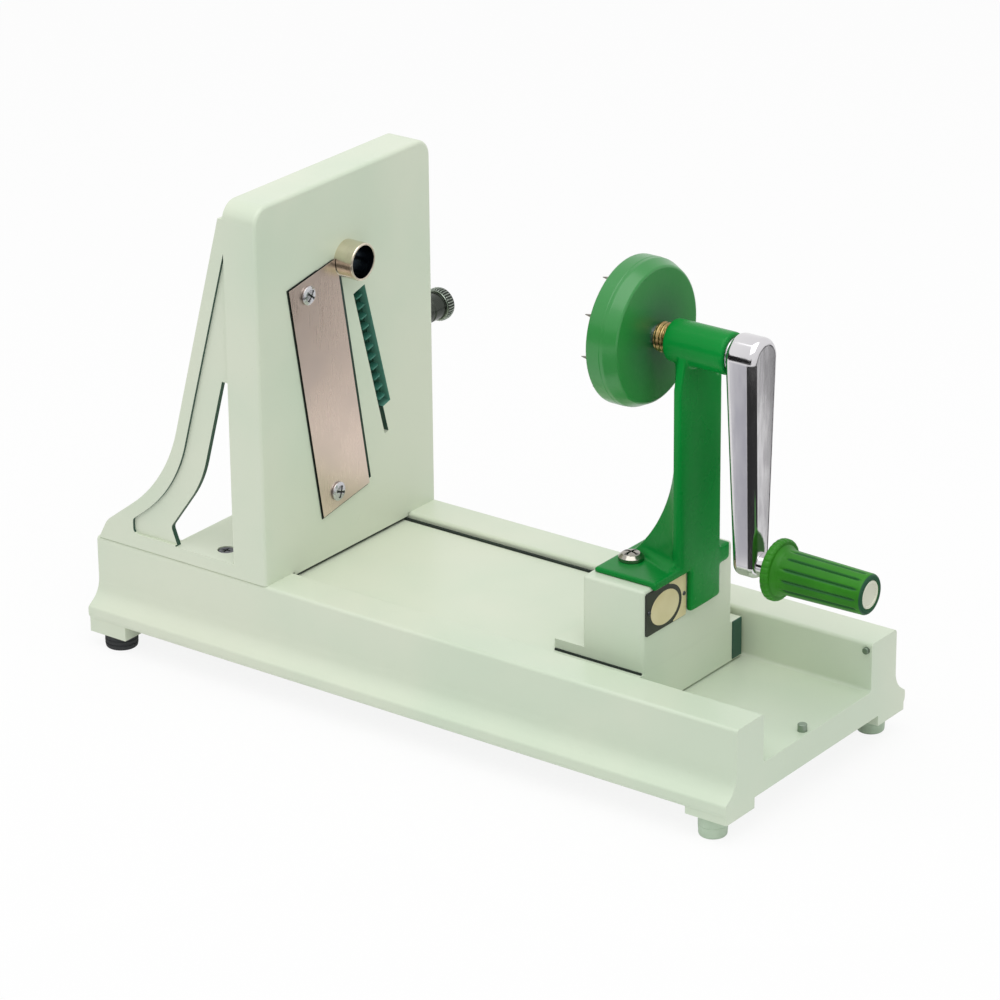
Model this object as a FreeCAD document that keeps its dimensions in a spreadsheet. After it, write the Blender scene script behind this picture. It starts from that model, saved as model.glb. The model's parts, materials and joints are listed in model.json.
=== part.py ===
# Horizontal spiral slicer with a crank: a cast base with two rails, a blade stand
# across it, and a sliding carriage that turns the food against the blades.
# Millimetres. Machine frame: X from the blade end to the crank end, Y across,
# Z up from the floor. The origin is the middle of the machine's footprint.

import FreeCAD
import Part
import Sketcher
import math
import os
import re

from FreeCAD import Placement, Rotation, Vector

doc = FreeCAD.newDocument("spiral_slicer")
sheet = doc.addObject("Spreadsheet::Sheet", "sizes")

# Driving dimensions: alias, value, what it measures.
SIZES = [
    # Cast base with its two rails
    ("base_length", 367, "base, blade end to crank end"),
    ("base_width", 130, "base across the outer rail faces"),
    ("skirt_flare", 8.6, "how far the skirt stands out on each side"),
    ("stand_height", 13, "floor to the skirt's lower edge"),
    ("slab_bottom", 15.7, "floor to the underside of the bed"),
    ("bed_top", 30.2, "floor to the bed between the rails"),
    ("bed_wall", 5, "thickness of the bed over the hollow underside"),
    ("rail_top", 53.8, "floor to the rail tops"),
    ("rail_wall", 5.8, "thickness of the rail tops and inner walls"),
    ("channel_width", 88, "clear width between the rails"),
    ("cove_bend", 26, "height where the side starts to flare"),
    ("cove_radius", 12, "hollow curve of the side"),
    ("skirt_shoulder", 20, "height of the skirt's upper edge"),
    ("cast_round", 1.8, "soft edges of the castings"),
    ("skirt_round", 4, "rounded lower edge of the skirt"),
    ("end_band", 10, "solid band at each end of the base"),
    # Feet
    ("foot_inset", 12.5, "foot centre from the base's end"),
    ("foot_side", 64.5, "foot centre from the middle plane"),
    ("pad_size", 22, "square corner pad above a foot"),
    ("pad_inset", 1, "corner pad behind the skirt's edge"),
    ("front_pad", 2.5, "height of a pad at the crank end"),
    ("rear_pad", 6, "height of a pad at the blade end"),
    ("peg_radius", 6.7, "peg foot at the crank end"),
    ("rubber_radius", 8, "rubber foot at the blade end"),
    ("foot_round", 1, "soft lower edge of a foot"),
    ("foot_screw_radius", 2.5, "foot screw shank"),
    ("foot_head_radius", 4.2, "foot screw head"),
    ("foot_head_height", 2.4, "foot screw head"),
    ("foot_head_recess", 2, "screw head above the floor"),
    ("foot_screw_reach", 6, "screw length in the casting"),
    # Blade stand: plate, two side wings and the web between them
    ("plate_face", 104, "plate's working face from the blade end"),
    ("plate_thick", 19, "plate, front to back"),
    ("plate_top", 238.4, "floor to the plate's top"),
    ("plate_corner", 9, "rounded upper corners"),
    ("plate_wall", 6, "wall behind the working face"),
    ("plate_rim", 7, "rim round the hollow back"),
    ("hollow_foot_round", 3, "lower corners of the hollow back"),
    ("hollow_head_round", 5, "upper corners of the hollow back"),
    ("wing_thick", 4, "side wing"),
    ("wing_recess", 1.4, "depth of the panel in a wing"),
    ("wing_top", 230.5, "height of a wing at the plate"),
    ("wing_tip_run", 1.5, "wing's tip from the blade end"),
    ("wing_head_width", 2.6, "flat at a wing's top"),
    ("wing_waist_run", 45.5, "wing's bend from the blade end"),
    ("wing_waist_height", 93.1, "wing's bend above the floor"),
    ("wing_toe_run", 7, "wing's toe from the blade end"),
    ("wing_toe_height", 64, "wing's toe above the floor"),
    ("wing_toe_round", 12, "radius of the wing's toe"),
    ("wing_sweep", 80, "radius of the wing's bend"),
    ("wing_border", 6.3, "raised border round the panel"),
    ("panel_lift", 0.6, "panel above the window's sill"),
    ("panel_round", 2.5, "corners of the panel"),
    ("window_sill", 60.5, "height of the window's lower edge and of the web"),
    ("window_rear", 46, "window's rear corner from the blade end"),
    ("window_rear_height", 69.5, "window's rear corner above the floor"),
    ("window_sill_run", 49.5, "window's lower corner from the blade end"),
    ("web_rear", 47, "rear edge of the web from the blade end"),
    ("window_head", 150.4, "height of the window's top"),
    ("window_bend_run", 66, "window's bend from the blade end"),
    ("window_bend_height", 96.8, "window's bend above the floor"),
    ("window_sweep", 60, "radius of the window's bend"),
    ("window_head_width", 4.5, "flat at the window's top"),
    ("window_round", 3, "window's rear corner"),
    ("stand_screw_side", 53.5, "stand screws from the middle plane"),
    ("stand_screw_run", 14, "rear stand screws behind the plate"),
    ("stand_screw_gap", 20.5, "rear to front stand screws"),
    ("stand_screw_radius", 2, "stand screw shank"),
    ("stand_head_radius", 4, "stand screw head"),
    ("stand_head_sink", 2.6, "seat of the heads below the web's face"),
    ("stand_head_low", 0.3, "top of the heads below the web's face"),
    ("stand_screw_bite", 4.6, "screw length in the rail"),
    # Cutting parts on the plate
    ("axis_height", 197, "floor to the crank's axis"),
    ("blade_tilt", 10, "slant of the knife, degrees"),
    ("knife_length", 121, "knife along its edge"),
    ("knife_width", 35.5, "knife across"),
    ("knife_thick", 2, "knife plate"),
    ("knife_bevel", 5, "ground edge, seen from the back"),
    ("knife_side", -25.7, "middle of the knife's upper end from the middle plane"),
    ("knife_drop", 0.6, "crank axis to the middle of the knife's upper end"),
    ("knife_edge", 0.25, "flat left at the ground edge"),
    ("knife_gap", 0.3, "hollow corner of the knife to the core tube"),
    ("throat_under", 4, "throat under the knife's edge"),
    ("throat_open", 2.6, "throat beyond the knife's edge"),
    ("throat_length", 118, "throat slit along the knife"),
    ("knife_screw_side", 12.4, "screws from the knife's left edge"),
    ("knife_screw_inset", 8, "screws from the knife's ends"),
    ("knife_screw_radius", 1.9, "knife screw shank"),
    ("knife_head_radius", 4.6, "knife screw head"),
    ("knife_head_height", 2.1, "knife screw head"),
    ("knife_screw_bite", 5, "screw length in the plate"),
    ("core_radius", 9, "core tube, outside"),
    ("core_wall", 1.2, "core tube wall"),
    ("core_standout", 10.4, "core tube in front of the plate"),
    ("core_behind", 3, "core tube behind the plate's wall"),
    ("core_round", 0.4, "soft lip of the core tube"),
    ("core_boss_wall", 4, "boss round the core tube"),
    ("core_boss_lip", 3, "boss behind the core tube's end"),
    ("comb_tilt", 15.5, "slant of the comb slot, degrees"),
    ("comb_side", 18, "slot's middle from the middle plane"),
    ("comb_drop", 50, "crank axis to the slot's middle"),
    ("comb_length", 66, "wide part of the comb slot"),
    ("comb_width", 8.8, "wide part of the comb slot"),
    ("comb_tail", 14, "narrow lower end of the slot"),
    ("comb_tail_width", 3, "narrow lower end of the slot"),
    ("comb_depth", 3.2, "holder's face behind the working face"),
    ("comb_bar", 12, "holder, front to back"),
    ("comb_play", 0.12, "side play of the comb holder"),
    ("guide_wall", 3.5, "guide behind the plate, round the comb holder"),
    ("guide_depth", 8, "guide behind the plate, front to back"),
    ("tooth_count", 11, "comb teeth"),
    ("tooth_height", 2.6, "tooth above the holder"),
    ("tooth_seat", 1.5, "tooth inside the holder"),
    ("tooth_thick", 0.8, "tooth"),
    ("tooth_width", 5, "tooth"),
    ("clamp_rise", 0.2, "clamp screw above the slot's middle"),
    ("clamp_gap", 0.1, "clamp screw's tip to the comb holder"),
    ("clamp_behind", 9.5, "clamp screw behind the working face"),
    ("clamp_radius", 3, "clamp screw"),
    ("clamp_boss_radius", 5.8, "boss for the clamp screw"),
    ("clamp_boss_length", 16, "boss for the clamp screw"),
    ("knob_standout", 20, "knob's end from the plate's edge"),
    ("knob_radius", 8.2, "knurled rim of the knob"),
    ("knob_rim", 5.6, "length of the knurled rim"),
    ("knob_neck_radius", 6.6, "neck of the knob"),
    ("knob_neck", 13, "length of the neck"),
    ("knob_floor", 1, "end of the clamp screw to the knurled rim"),
    ("knob_round", 0.8, "soft edges of the knob"),
    # Carriage: sled, block and crank bracket
    ("sled_end", 297.7, "sled's crank end from the blade end"),
    ("sled_length", 213.7, "sled"),
    ("sled_width", 83.4, "sled"),
    ("sled_top", 50.5, "floor to the sled's top"),
    ("sled_wall", 5, "walls of the hollow sled"),
    ("runner_height", 0.9, "runner below the sled"),
    ("runner_width", 3.2, "runner strip"),
    ("runner_sink", 1.1, "runner sunk in the sled"),
    ("runner_inset", 6, "runner from the sled's ends"),
    ("glide_length", 26, "side glide"),
    ("glide_height", 9, "side glide"),
    ("glide_inset", 12, "side glide from the sled's ends"),
    ("block_length", 33, "block along the base"),
    ("block_width", 71, "block across"),
    ("block_side", -1.5, "block's middle from the middle plane"),
    ("block_top", 91, "floor to the block's top"),
    ("block_wall", 5, "walls of the hollow block"),
    ("block_screw_inset", 7.5, "screws from the block's faces"),
    ("block_screw_reach", 9, "screw length in the block"),
    ("block_post_radius", 4.6, "screw post in the block"),
    ("block_post_height", 14, "screw post in the block"),
    ("toe_length", 15.4, "low toe of the block"),
    ("toe_height", 5.5, "low toe of the block"),
    ("bracket_thick", 2.5, "bracket's foot plate"),
    ("bracket_near", 31, "foot plate on the near side"),
    ("bracket_far", 28, "foot plate on the far side"),
    ("bracket_rear_gap", 2.2, "block's edge to the foot plate"),
    ("bracket_round", 1.5, "small corners of the bracket"),
    ("bracket_corner", 3, "far rear corner of the foot plate"),
    ("skirt_drop", 22.3, "bracket's apron down the block"),
    ("lip_drop", 1.2, "foot plate's lip over the block's edge"),
    ("lug_drop", 5.5, "far end of the lip"),
    ("apron_near", 3.4, "apron on the near side"),
    ("apron_far", 22, "apron on the far side"),
    ("apron_corner", 6, "lower far corner of the apron"),
    ("post_near", 12.5, "post on the near side"),
    ("post_far", 20.3, "post on the far side"),
    ("post_thick", 3.8, "post"),
    ("post_far_bend", 20, "radius of the post's far shoulder"),
    ("post_near_bend", 12, "radius of the post's near shoulder"),
    ("rib_half", 5, "half the rib's thickness"),
    ("rib_depth", 4.3, "rib behind the post"),
    ("rib_foot_run", 3.4, "rib's toe from the foot plate's edge"),
    ("rib_bend", 24, "height of the rib's bend over the foot plate"),
    ("rib_sweep", 75, "radius of the rib's curve"),
    ("bearing_rear", 9.7, "bearing tube's rear end behind the block's end face"),
    ("bearing_length", 31.6, "bearing tube"),
    ("bearing_radius", 9.8, "bearing tube"),
    ("bearing_round", 1, "soft ends of the bearing tube"),
    ("bore_radius", 7, "bore of the bearing tube"),
    ("bush_length", 10, "bearing bush"),
    ("bracket_screw_run", 8.6, "bracket screws from the foot plate's edge"),
    ("bracket_screw_near", 14.5, "near bracket screw from the middle plane"),
    ("bracket_screw_far", 14.5, "far bracket screw from the middle plane"),
    ("bracket_screw_radius", 2.5, "bracket screw shank"),
    ("bracket_head_radius", 5.9, "bracket screw head"),
    ("bracket_head_height", 3.8, "bracket screw head"),
    ("bracket_screw_bite", 4.5, "screw length in the block"),
    ("badge_length", 31.6, "blank badge plate"),
    ("badge_height", 19.6, "blank badge plate"),
    ("badge_thick", 0.8, "blank badge plate"),
    ("badge_gap", 1.6, "block's edges to the badge"),
    ("rivet_radius", 0.9, "badge rivet"),
    ("rivet_inset", 2.2, "rivet from the badge's end"),
    ("rivet_reach", 3, "rivet in the block"),
    # Crank: shaft, disk, arm and grip
    ("shaft_radius", 4.9, "crank shaft"),
    ("disk_radius", 34, "food disk"),
    ("disk_thick", 15, "food disk"),
    ("disk_shoulder", 2.7, "sloping shoulder at the back"),
    ("disk_step", 8.25, "front face to the shoulder"),
    ("disk_edge_round", 1, "front edge of the disk"),
    ("disk_step_round", 3, "edge between rim and shoulder"),
    ("disk_back_round", 1.5, "rear edge of the disk"),
    ("disk_hollow", 1.2, "hollow of the front face"),
    ("disk_border", 7, "flat border of the front face"),
    ("disk_bevel", 1.5, "slope from the border to the hollow"),
    ("disk_cup_radius", 11, "cup that clears the core tube"),
    ("disk_cup_depth", 6, "cup that clears the core tube"),
    ("disk_cup_taper", 1, "how much the cup narrows"),
    ("disk_screw_radius", 2, "screw in the shaft's end"),
    ("disk_head_radius", 4.4, "screw in the shaft's end"),
    ("disk_head_height", 2.4, "screw in the shaft's end"),
    ("disk_screw_reach", 8.5, "screw in the shaft's end"),
    ("disk_flange", 1.5, "screw's flange beyond the shaft"),
    ("disk_flange_thick", 1, "screw's flange"),
    ("disk_gap", 9, "disk's back to the bearing tube"),
    ("spike_count", 10, "spikes on the disk"),
    ("spike_turn", 9, "turn of the first spike, degrees"),
    ("spike_circle", 30.6, "circle of the spikes"),
    ("spike_length", 4.6, "spike in front of the disk"),
    ("spike_radius", 1, "spike at its foot"),
    ("spike_tip", 0.15, "blunt tip of a spike"),
    ("spike_seat", 3, "spike inside the disk"),
    ("collar_length", 7.2, "brass collar"),
    ("collar_radius", 7, "brass collar"),
    ("collar_round", 0.4, "soft edges of the collar"),
    ("washer_thick", 1, "thrust washer"),
    ("washer_radius", 8, "thrust washer"),
    ("arm_length", 96.1, "crank arm between its axes"),
    ("arm_thick_top", 15.7, "arm along the axis, at the shaft"),
    ("arm_thick_foot", 12.4, "arm along the axis, at the grip"),
    ("arm_rake", 2.8, "how far the arm's inner face leans out"),
    ("arm_radius_top", 10.5, "arm's rounded end at the shaft"),
    ("arm_radius_foot", 6.8, "arm's rounded end at the grip"),
    ("arm_seat", 11.5, "shaft inside the arm"),
    ("set_screw_radius", 2, "set screw in the arm"),
    ("set_screw_bite", 1.5, "set screw's tip in the shaft"),
    ("set_screw_low", 0.5, "set screw below the arm's end"),
    ("axle_radius", 3, "grip axle"),
    ("axle_seat", 9, "axle inside the arm"),
    ("axle_head_radius", 4.7, "axle's head"),
    ("axle_head_length", 2.2, "axle's head"),
    ("axle_head_round", 0.8, "soft edge of the axle's head"),
    ("axle_head_play", 0.4, "pocket round the axle's head"),
    ("axle_end_gap", 1.2, "axle's head to the cap"),
    ("spacer_thick", 7.2, "spacer between arm and grip"),
    ("spacer_radius", 5.6, "spacer between arm and grip"),
    ("spacer_round", 0.8, "soft edge of the spacer"),
    ("grip_length", 49.2, "grip with its guard"),
    ("guard_radius", 14.2, "guard flange of the grip"),
    ("guard_thick", 4.2, "guard flange of the grip"),
    ("guard_round", 1.3, "soft edges of the guard"),
    ("guard_root", 1.5, "height of the slope at the guard's foot"),
    ("guard_slope", 2, "length of the slope at the guard's foot"),
    ("guard_root_bend", 3, "radius at the end of that slope"),
    ("cap_radius", 6.6, "end cap of the grip"),
    ("cap_thick", 2.6, "end cap of the grip"),
    ("cap_round", 0.5, "soft edge of the cap"),
    ("grip_radius_inner", 10.3, "grip at the guard"),
    ("grip_radius_outer", 9.4, "grip at its end"),
    ("grip_end_round", 1.4, "soft end of the grip"),
    ("flute_count", 12, "flutes round the grip"),
    ("flute_radius", 1.9, "flute"),
    ("flute_depth", 0.8, "flute"),
    ("flute_start", 4, "flutes from the guard"),
    ("flute_slope", 2, "length over which a flute fades in"),
    ("flute_end", 2.4, "flutes from the grip's end"),
    # Small things on the bed
    ("stop_inset", 3.6, "stop pin from the crank end"),
    ("stop_side", -7.4, "stop pin from the middle plane"),
    ("stop_radius", 2.2, "stop pin"),
    ("stop_height", 3.4, "stop pin above the bed"),
    ("latch_inset", 2.9, "rail peg from the crank end"),
    ("latch_radius", 1.6, "rail peg"),
    ("latch_drop", 3.6, "rail peg below the rail top"),
    ("pin_seat", 3, "stop pin and rail peg in the casting"),
    ("pin_round", 0.5, "soft ends of the pins"),
    # Clearances
    ("running_fit", 0.05, "radial play of turning and sliding parts"),
    ("seat_fit", 0.02, "radial play of fixed parts in their holes"),
    ("sliding_gap", 0.25, "side play of the carriage"),
    ("head_fit", 0.3, "play round a sunk screw head"),
    ("hole_spare", 0.2, "blind hole beyond the end of its screw"),
    ("overcut", 1, "how far cutting and joining pieces reach past a face"),
]

for row, (alias, number, note) in enumerate(SIZES, start=1):
    sheet.set("A%d" % row, note)
    sheet.set("B%d" % row, str(number))
    sheet.setAlias("B%d" % row, alias)
doc.recompute()

ALIASES = {alias for alias, number, note in SIZES}


def bound(text):
    """Turn a size written in words into an expression on the sheet's cells."""
    def cell(match):
        word = match.group(0)
        return "sizes." + word if word in ALIASES else word
    return re.sub(r"[A-Za-z_][A-Za-z_0-9]*", cell, str(text))


def number_of(text):
    """The present value of a size written in words."""
    return float(sheet.evalExpression(bound(text)))


# Places that several pieces share, written in words of the sheet.
PLATE_BACK = "(plate_face - plate_thick)"
SLED_REAR = "(sled_end - sled_length)"
BLOCK_REAR = "(sled_end - block_length)"
BLOCK_NEAR = "(block_side - block_width / 2)"
FOOT_TOP = "(block_top + bracket_thick)"
POST_FACE = "(sled_end + bracket_thick)"
BEARING_REAR = "(sled_end - bearing_rear)"
BEARING_FRONT = "(%s + bearing_length)" % BEARING_REAR
DISK_BACK = "(%s - disk_gap)" % BEARING_REAR
DISK_FRONT = "(%s - disk_thick)" % DISK_BACK
ARM_FACE = "(%s + washer_thick + 4 * running_fit)" % BEARING_FRONT
ARM_FOOT_FACE = "(%s + arm_rake)" % ARM_FACE
ARM_FOOT_END = "(%s + arm_thick_foot)" % ARM_FOOT_FACE
GRIP_HEIGHT = "(axis_height - arm_length)"
GRIP_START = "(%s + spacer_thick + running_fit)" % ARM_FOOT_END
GRIP_END = "(%s + grip_length)" % GRIP_START
MIDDLE_X = "(%s / 2)" % GRIP_END
MIDDLE_Y = "((knob_standout - skirt_flare) / 2)"

# How a flat outline stands in the machine.
STANDING = {
    "top": Rotation(),
    "end": Rotation(Vector(1, 1, 1), 120),
    "side": Rotation(Vector(1, 0, 0), 90),
}
AXIS = {
    "x": Rotation(Vector(0, 1, 0), 90),
    "y": Rotation(Vector(1, 0, 0), -90),
    "z": Rotation(),
}
TURNED = {
    "x": Rotation(),
    "y": Rotation(Vector(0, 0, 1), 90),
    "up": Rotation(Vector(0, 1, 0), -90),
    "down": Rotation(Vector(0, 1, 0), 90),
}


def place(thing, x, y, z, rotation=None):
    """Put a piece at a point of the machine frame."""
    if rotation is not None:
        thing.Placement = Placement(Vector(), rotation)
    thing.setExpression("Placement.Base.x", bound("%s - %s" % (x, MIDDLE_X)))
    thing.setExpression("Placement.Base.y", bound("%s - %s" % (y, MIDDLE_Y)))
    thing.setExpression("Placement.Base.z", bound(z))
    return thing


def box(name, x, y, z, length, width, height):
    """A block given by its lowest corner and its three sides."""
    thing = doc.addObject("Part::Box", name)
    thing.setExpression("Length", bound(length))
    thing.setExpression("Width", bound(width))
    thing.setExpression("Height", bound(height))
    return place(thing, x, y, z)


def rod(name, axis, x, y, z, radius, length):
    """A round bar that starts at a point and runs along an axis."""
    thing = doc.addObject("Part::Cylinder", name)
    thing.setExpression("Radius", bound(radius))
    thing.setExpression("Height", bound(length))
    return place(thing, x, y, z, AXIS[axis])


def outline(body, name, corners, height=None):
    """A closed sketch on the body's XY plane.

    Each corner is (x, y) or (x, y, radius), written in words and in
    anticlockwise order. A rounded corner keeps its sharp point as a
    construction point, so every size stays bound to the sheet. In a
    constraint, 1 is a line's start and 2 its end.
    """
    sketch = body.newObject("Sketcher::SketchObject", name)
    plane = [o for o in body.Origin.OriginFeatures if o.Role == "XY_Plane"][0]
    sketch.AttachmentSupport = [(plane, "")]
    sketch.MapMode = "FlatFace"
    if height is not None:
        sketch.setExpression(".AttachmentOffset.Base.z", bound(height))
    count = len(corners)
    spots = [Vector(number_of(c[0]), number_of(c[1]), 0) for c in corners]
    cuts = []
    for i, corner in enumerate(corners):
        before = (spots[i - 1] - spots[i]).normalize()
        after = (spots[(i + 1) % count] - spots[i]).normalize()
        if not corner[2:]:
            cuts.append((spots[i], spots[i], None))
            continue
        radius = number_of(corner[-1])
        half = before.getAngle(after) / 2
        reach = radius / math.tan(half)
        middle = (before + after).normalize() * (radius / math.sin(half)) + spots[i]
        first = spots[i] + before * reach
        last = spots[i] + after * reach
        turn = before.cross(after).z
        cuts.append((first, last, (middle, radius, turn < 0)))
    lines = []
    for i in range(count):
        start = cuts[i][1]
        end = cuts[(i + 1) % count][0]
        lines.append(sketch.addGeometry(Part.LineSegment(start, end)))

    def pin(index, where, corner):
        for kind, text in (("DistanceX", corner[0]), ("DistanceY", corner[1])):
            order = sketch.addConstraint(
                Sketcher.Constraint(kind, -1, 1, index, where, number_of(text)))
            sketch.setExpression("Constraints[%d]" % order, bound(text))

    for i, corner in enumerate(corners):
        before, after = lines[i - 1], lines[i]
        bend = cuts[i][2]
        if bend is None:
            sketch.addConstraint(Sketcher.Constraint("Coincident", before, 2, after, 1))
            pin(after, 1, corner)
            continue
        middle, radius, left = bend
        angles = [math.atan2(p.y - middle.y, p.x - middle.x) for p in cuts[i][:2]]
        if not left:
            angles.reverse()
        circle = Part.Circle(middle, Vector(0, 0, 1), radius)
        arc = sketch.addGeometry(Part.ArcOfCircle(circle, angles[0], angles[1]))
        first, last = (1, 2) if left else (2, 1)
        sketch.addConstraint(Sketcher.Constraint("Tangent", before, 2, arc, first))
        sketch.addConstraint(Sketcher.Constraint("Tangent", arc, last, after, 1))
        order = sketch.addConstraint(Sketcher.Constraint("Radius", arc, radius))
        sketch.setExpression("Constraints[%d]" % order, bound(corner[-1]))
        sharp = sketch.addGeometry(Part.Point(spots[i]), True)
        sketch.addConstraint(Sketcher.Constraint("PointOnObject", sharp, 1, before))
        sketch.addConstraint(Sketcher.Constraint("PointOnObject", sharp, 1, after))
        pin(sharp, 1, corner)
    return sketch


def prism(name, stand, start, corners, length):
    """A flat outline in machine coordinates, made thick along the third axis."""
    body = doc.addObject("PartDesign::Body", name)
    sketch = outline(body, name + "_outline", corners)
    pad = body.newObject("PartDesign::Pad", name + "_pad")
    pad.Profile = sketch
    pad.setExpression("Length", bound(length))
    where = {"top": ("0", "0", start), "end": (start, "0", "0"), "side": ("0", start, "0")}
    place(body, *where[stand], STANDING[stand])
    doc.recompute()
    return body


def turned(name, axis, x, y, z, profile):
    """A piece turned about an axis, from a profile of (along, radius) corners."""
    body = doc.addObject("PartDesign::Body", name)
    sketch = outline(body, name + "_profile", profile)
    turn = body.newObject("PartDesign::Revolution", name + "_turn")
    turn.Profile = sketch
    turn.ReferenceAxis = (sketch, ["H_Axis"])
    turn.Angle = 360
    place(body, x, y, z, TURNED[axis])
    doc.recompute()
    return body


def ring_of(name, x, z, turn, profile, circle, count):
    """Equal turned pieces on a circle round an axis along X, with one profile."""
    body = doc.addObject("PartDesign::Body", name)
    body.AllowCompound = True
    sketch = outline(body, name + "_profile", profile)
    sketch.setExpression(".AttachmentOffset.Base.y", bound(circle))
    first = body.newObject("PartDesign::Revolution", name + "_first")
    first.Profile = sketch
    first.ReferenceAxis = (sketch, ["H_Axis"])
    first.Angle = 360
    pattern = body.newObject("PartDesign::PolarPattern", name + "_pattern")
    pattern.Originals = [first]
    axis = [o for o in body.Origin.OriginFeatures if o.Role == "X_Axis"][0]
    pattern.Axis = (axis, [""])
    pattern.Angle = 360
    pattern.setExpression("Occurrences", bound(count))
    body.Tip = pattern
    place(body, x, "0", z, Rotation(Vector(1, 0, 0), number_of(turn)))
    body.setExpression("Placement.Rotation.Angle", bound(turn))
    doc.recompute()
    return body


def leaned(u, v, side, height, tilt):
    """Machine Y and Z of a point (u, v) in a frame leaning on the plate's face."""
    y = "(%s + (%s) * cos(%s) - (%s) * sin(%s))" % (side, u, tilt, v, tilt)
    z = "(%s + (%s) * sin(%s) + (%s) * cos(%s))" % (height, u, tilt, v, tilt)
    return y, z


def lean_box(name, x, u, v, frame, length, width, height):
    """A block in a leaning frame, given by its lowest corner and its sides."""
    y, z = leaned(u, v, *frame)
    thing = box(name, x, y, z, length, width, height)
    thing.Placement.Rotation = Rotation(Vector(1, 0, 0), number_of(frame[2]))
    thing.setExpression("Placement.Rotation.Angle", bound(frame[2]))
    return thing


def fuse(name, *pieces):
    thing = doc.addObject("Part::MultiFuse", name)
    thing.Shapes = list(pieces)
    return thing


def common(name, *pieces):
    thing = doc.addObject("Part::MultiCommon", name)
    thing.Shapes = list(pieces)
    return thing


def cut(name, base, *tools):
    thing = doc.addObject("Part::Cut", name)
    thing.Base = base
    thing.Tool = tools[0] if len(tools) == 1 else fuse(name + "_tools", *tools)
    return thing


def group(name, pieces):
    """Equal pieces that share one node."""
    thing = doc.addObject("Part::Compound", name)
    thing.Links = list(pieces)
    return thing


def both_sides(points):
    """An outline that is the same on both sides of the middle plane."""
    return points + [("-(%s)" % p[0],) + p[1:] for p in reversed(points)]


def round_edges(body, radius, chosen):
    """Round those edges of a body whose middle, in machine coordinates, is chosen."""
    tip = body.Tip
    shift = Vector(number_of(MIDDLE_X), number_of(MIDDLE_Y), 0)
    names = []
    for order, edge in enumerate(tip.Shape.Edges, start=1):
        middle = edge.valueAt((edge.FirstParameter + edge.LastParameter) / 2)
        if chosen(body.Placement.multVec(middle) + shift):
            names.append("Edge%d" % order)
    fillet = body.newObject("PartDesign::Fillet", body.Name + "_round")
    fillet.Base = (tip, names)
    fillet.setExpression("Radius", bound(radius))
    body.Tip = fillet
    doc.recompute()
    return body


def near(value, text):
    return abs(value - number_of(text)) < 0.01


def screw(name, axis, x, y, z, head_radius, head_height, shank_radius, shank):
    """A pan-headed screw; the point is under its head, the axis points outwards."""
    profile = [
        ("-(%s)" % shank, "0"),
        (head_height, "0"),
        (head_height, head_radius, "0.45 * %s" % head_height),
        ("0", head_radius),
        ("0", shank_radius),
        ("-(%s)" % shank, shank_radius),
    ]
    return turned(name, axis, x, y, z, profile)


NODES = {}


def node(name, thing):
    """Hand a finished piece in under its own name."""
    NODES[name] = thing
    return thing


HALF = "(base_width / 2)"
FLARE = "(base_width / 2 + skirt_flare)"
CHANNEL = "(channel_width / 2)"
SIDES = {"near": "-1", "far": "1"}

# Cast base: the section of the bed and its rails, hollowed from below.
section = both_sides([
    (FLARE, "stand_height", "skirt_round"),
    (FLARE, "skirt_shoulder", "cast_round"),
    (HALF, "cove_bend", "cove_radius"),
    (HALF, "rail_top", "cast_round"),
    (CHANNEL, "rail_top", "cast_round"),
    (CHANNEL, "bed_top", "cast_round"),
])
bed = prism("bed_casting", "end", "0", section, "base_length")
hollow_length = "base_length - 2 * end_band"
hollows = [
    box("bed_underside", "-overcut", "-" + HALF, "stand_height - overcut",
        "base_length + 2 * overcut", "base_width", "slab_bottom - stand_height + overcut"),
    box("bed_hollow", "end_band", "-(%s - rail_wall)" % HALF, "stand_height",
        hollow_length, "base_width - 2 * rail_wall", "bed_top - bed_wall - stand_height"),
]
for side, sign in SIDES.items():
    inner = "(%s + rail_wall)" % CHANNEL
    width = "(%s - rail_wall - %s)" % (HALF, inner)
    start = inner if sign == "1" else "(-%s - %s)" % (inner, width)
    hollows.append(box(side + "_rail_hollow", "end_band", start, "stand_height",
                       hollow_length, width, "rail_top - rail_wall - stand_height"))
pads = []
screw_holes = []
feet = {"peg": [], "rubber": [], "screw": []}
ENDS = {"rear": ("0", "foot_inset", "rear_pad"),
        "front": ("(base_length - pad_size)", "(base_length - foot_inset)", "front_pad")}
for side, sign in SIDES.items():
    y = "%s * foot_side" % sign
    for end, (start, x, pad_height) in ENDS.items():
        name = side + "_" + end
        outer = "(%s - pad_inset)" % FLARE
        low = "(%s - pad_size)" % outer if sign == "1" else "-" + outer
        pads.append(box(name + "_pad", start, low, "stand_height - %s" % pad_height,
                        "pad_size", "pad_size", "skirt_shoulder - stand_height + %s" % pad_height))
        bottom = "(stand_height - %s)" % pad_height
        radius = "rubber_radius" if end == "rear" else "peg_radius"
        kind = "rubber" if end == "rear" else "peg"
        head_seat = "(foot_head_recess + foot_head_height)"
        foot = turned(name + "_foot", "up", x, y, "0", [
            ("0", "foot_head_radius + head_fit"),
            (head_seat, "foot_head_radius + head_fit"),
            (head_seat, "foot_screw_radius + seat_fit"),
            (bottom, "foot_screw_radius + seat_fit"),
            (bottom, radius),
            ("0", radius, "foot_round"),
        ])
        feet[kind].append(foot)
        feet["screw"].append(screw(
            name + "_foot_screw", "down", x, y, head_seat, "foot_head_radius",
            "foot_head_height", "foot_screw_radius",
            "%s - %s + foot_screw_reach" % (bottom, head_seat)))
        screw_holes.append(rod(name + "_foot_hole", "z", x, y, "%s - overcut" % bottom,
                               "foot_screw_radius + seat_fit",
                               "foot_screw_reach + overcut + hole_spare"))
REAR_SCREW = "(%s - stand_screw_run)" % PLATE_BACK
FRONT_SCREW = "(%s + stand_screw_gap)" % REAR_SCREW
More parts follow.
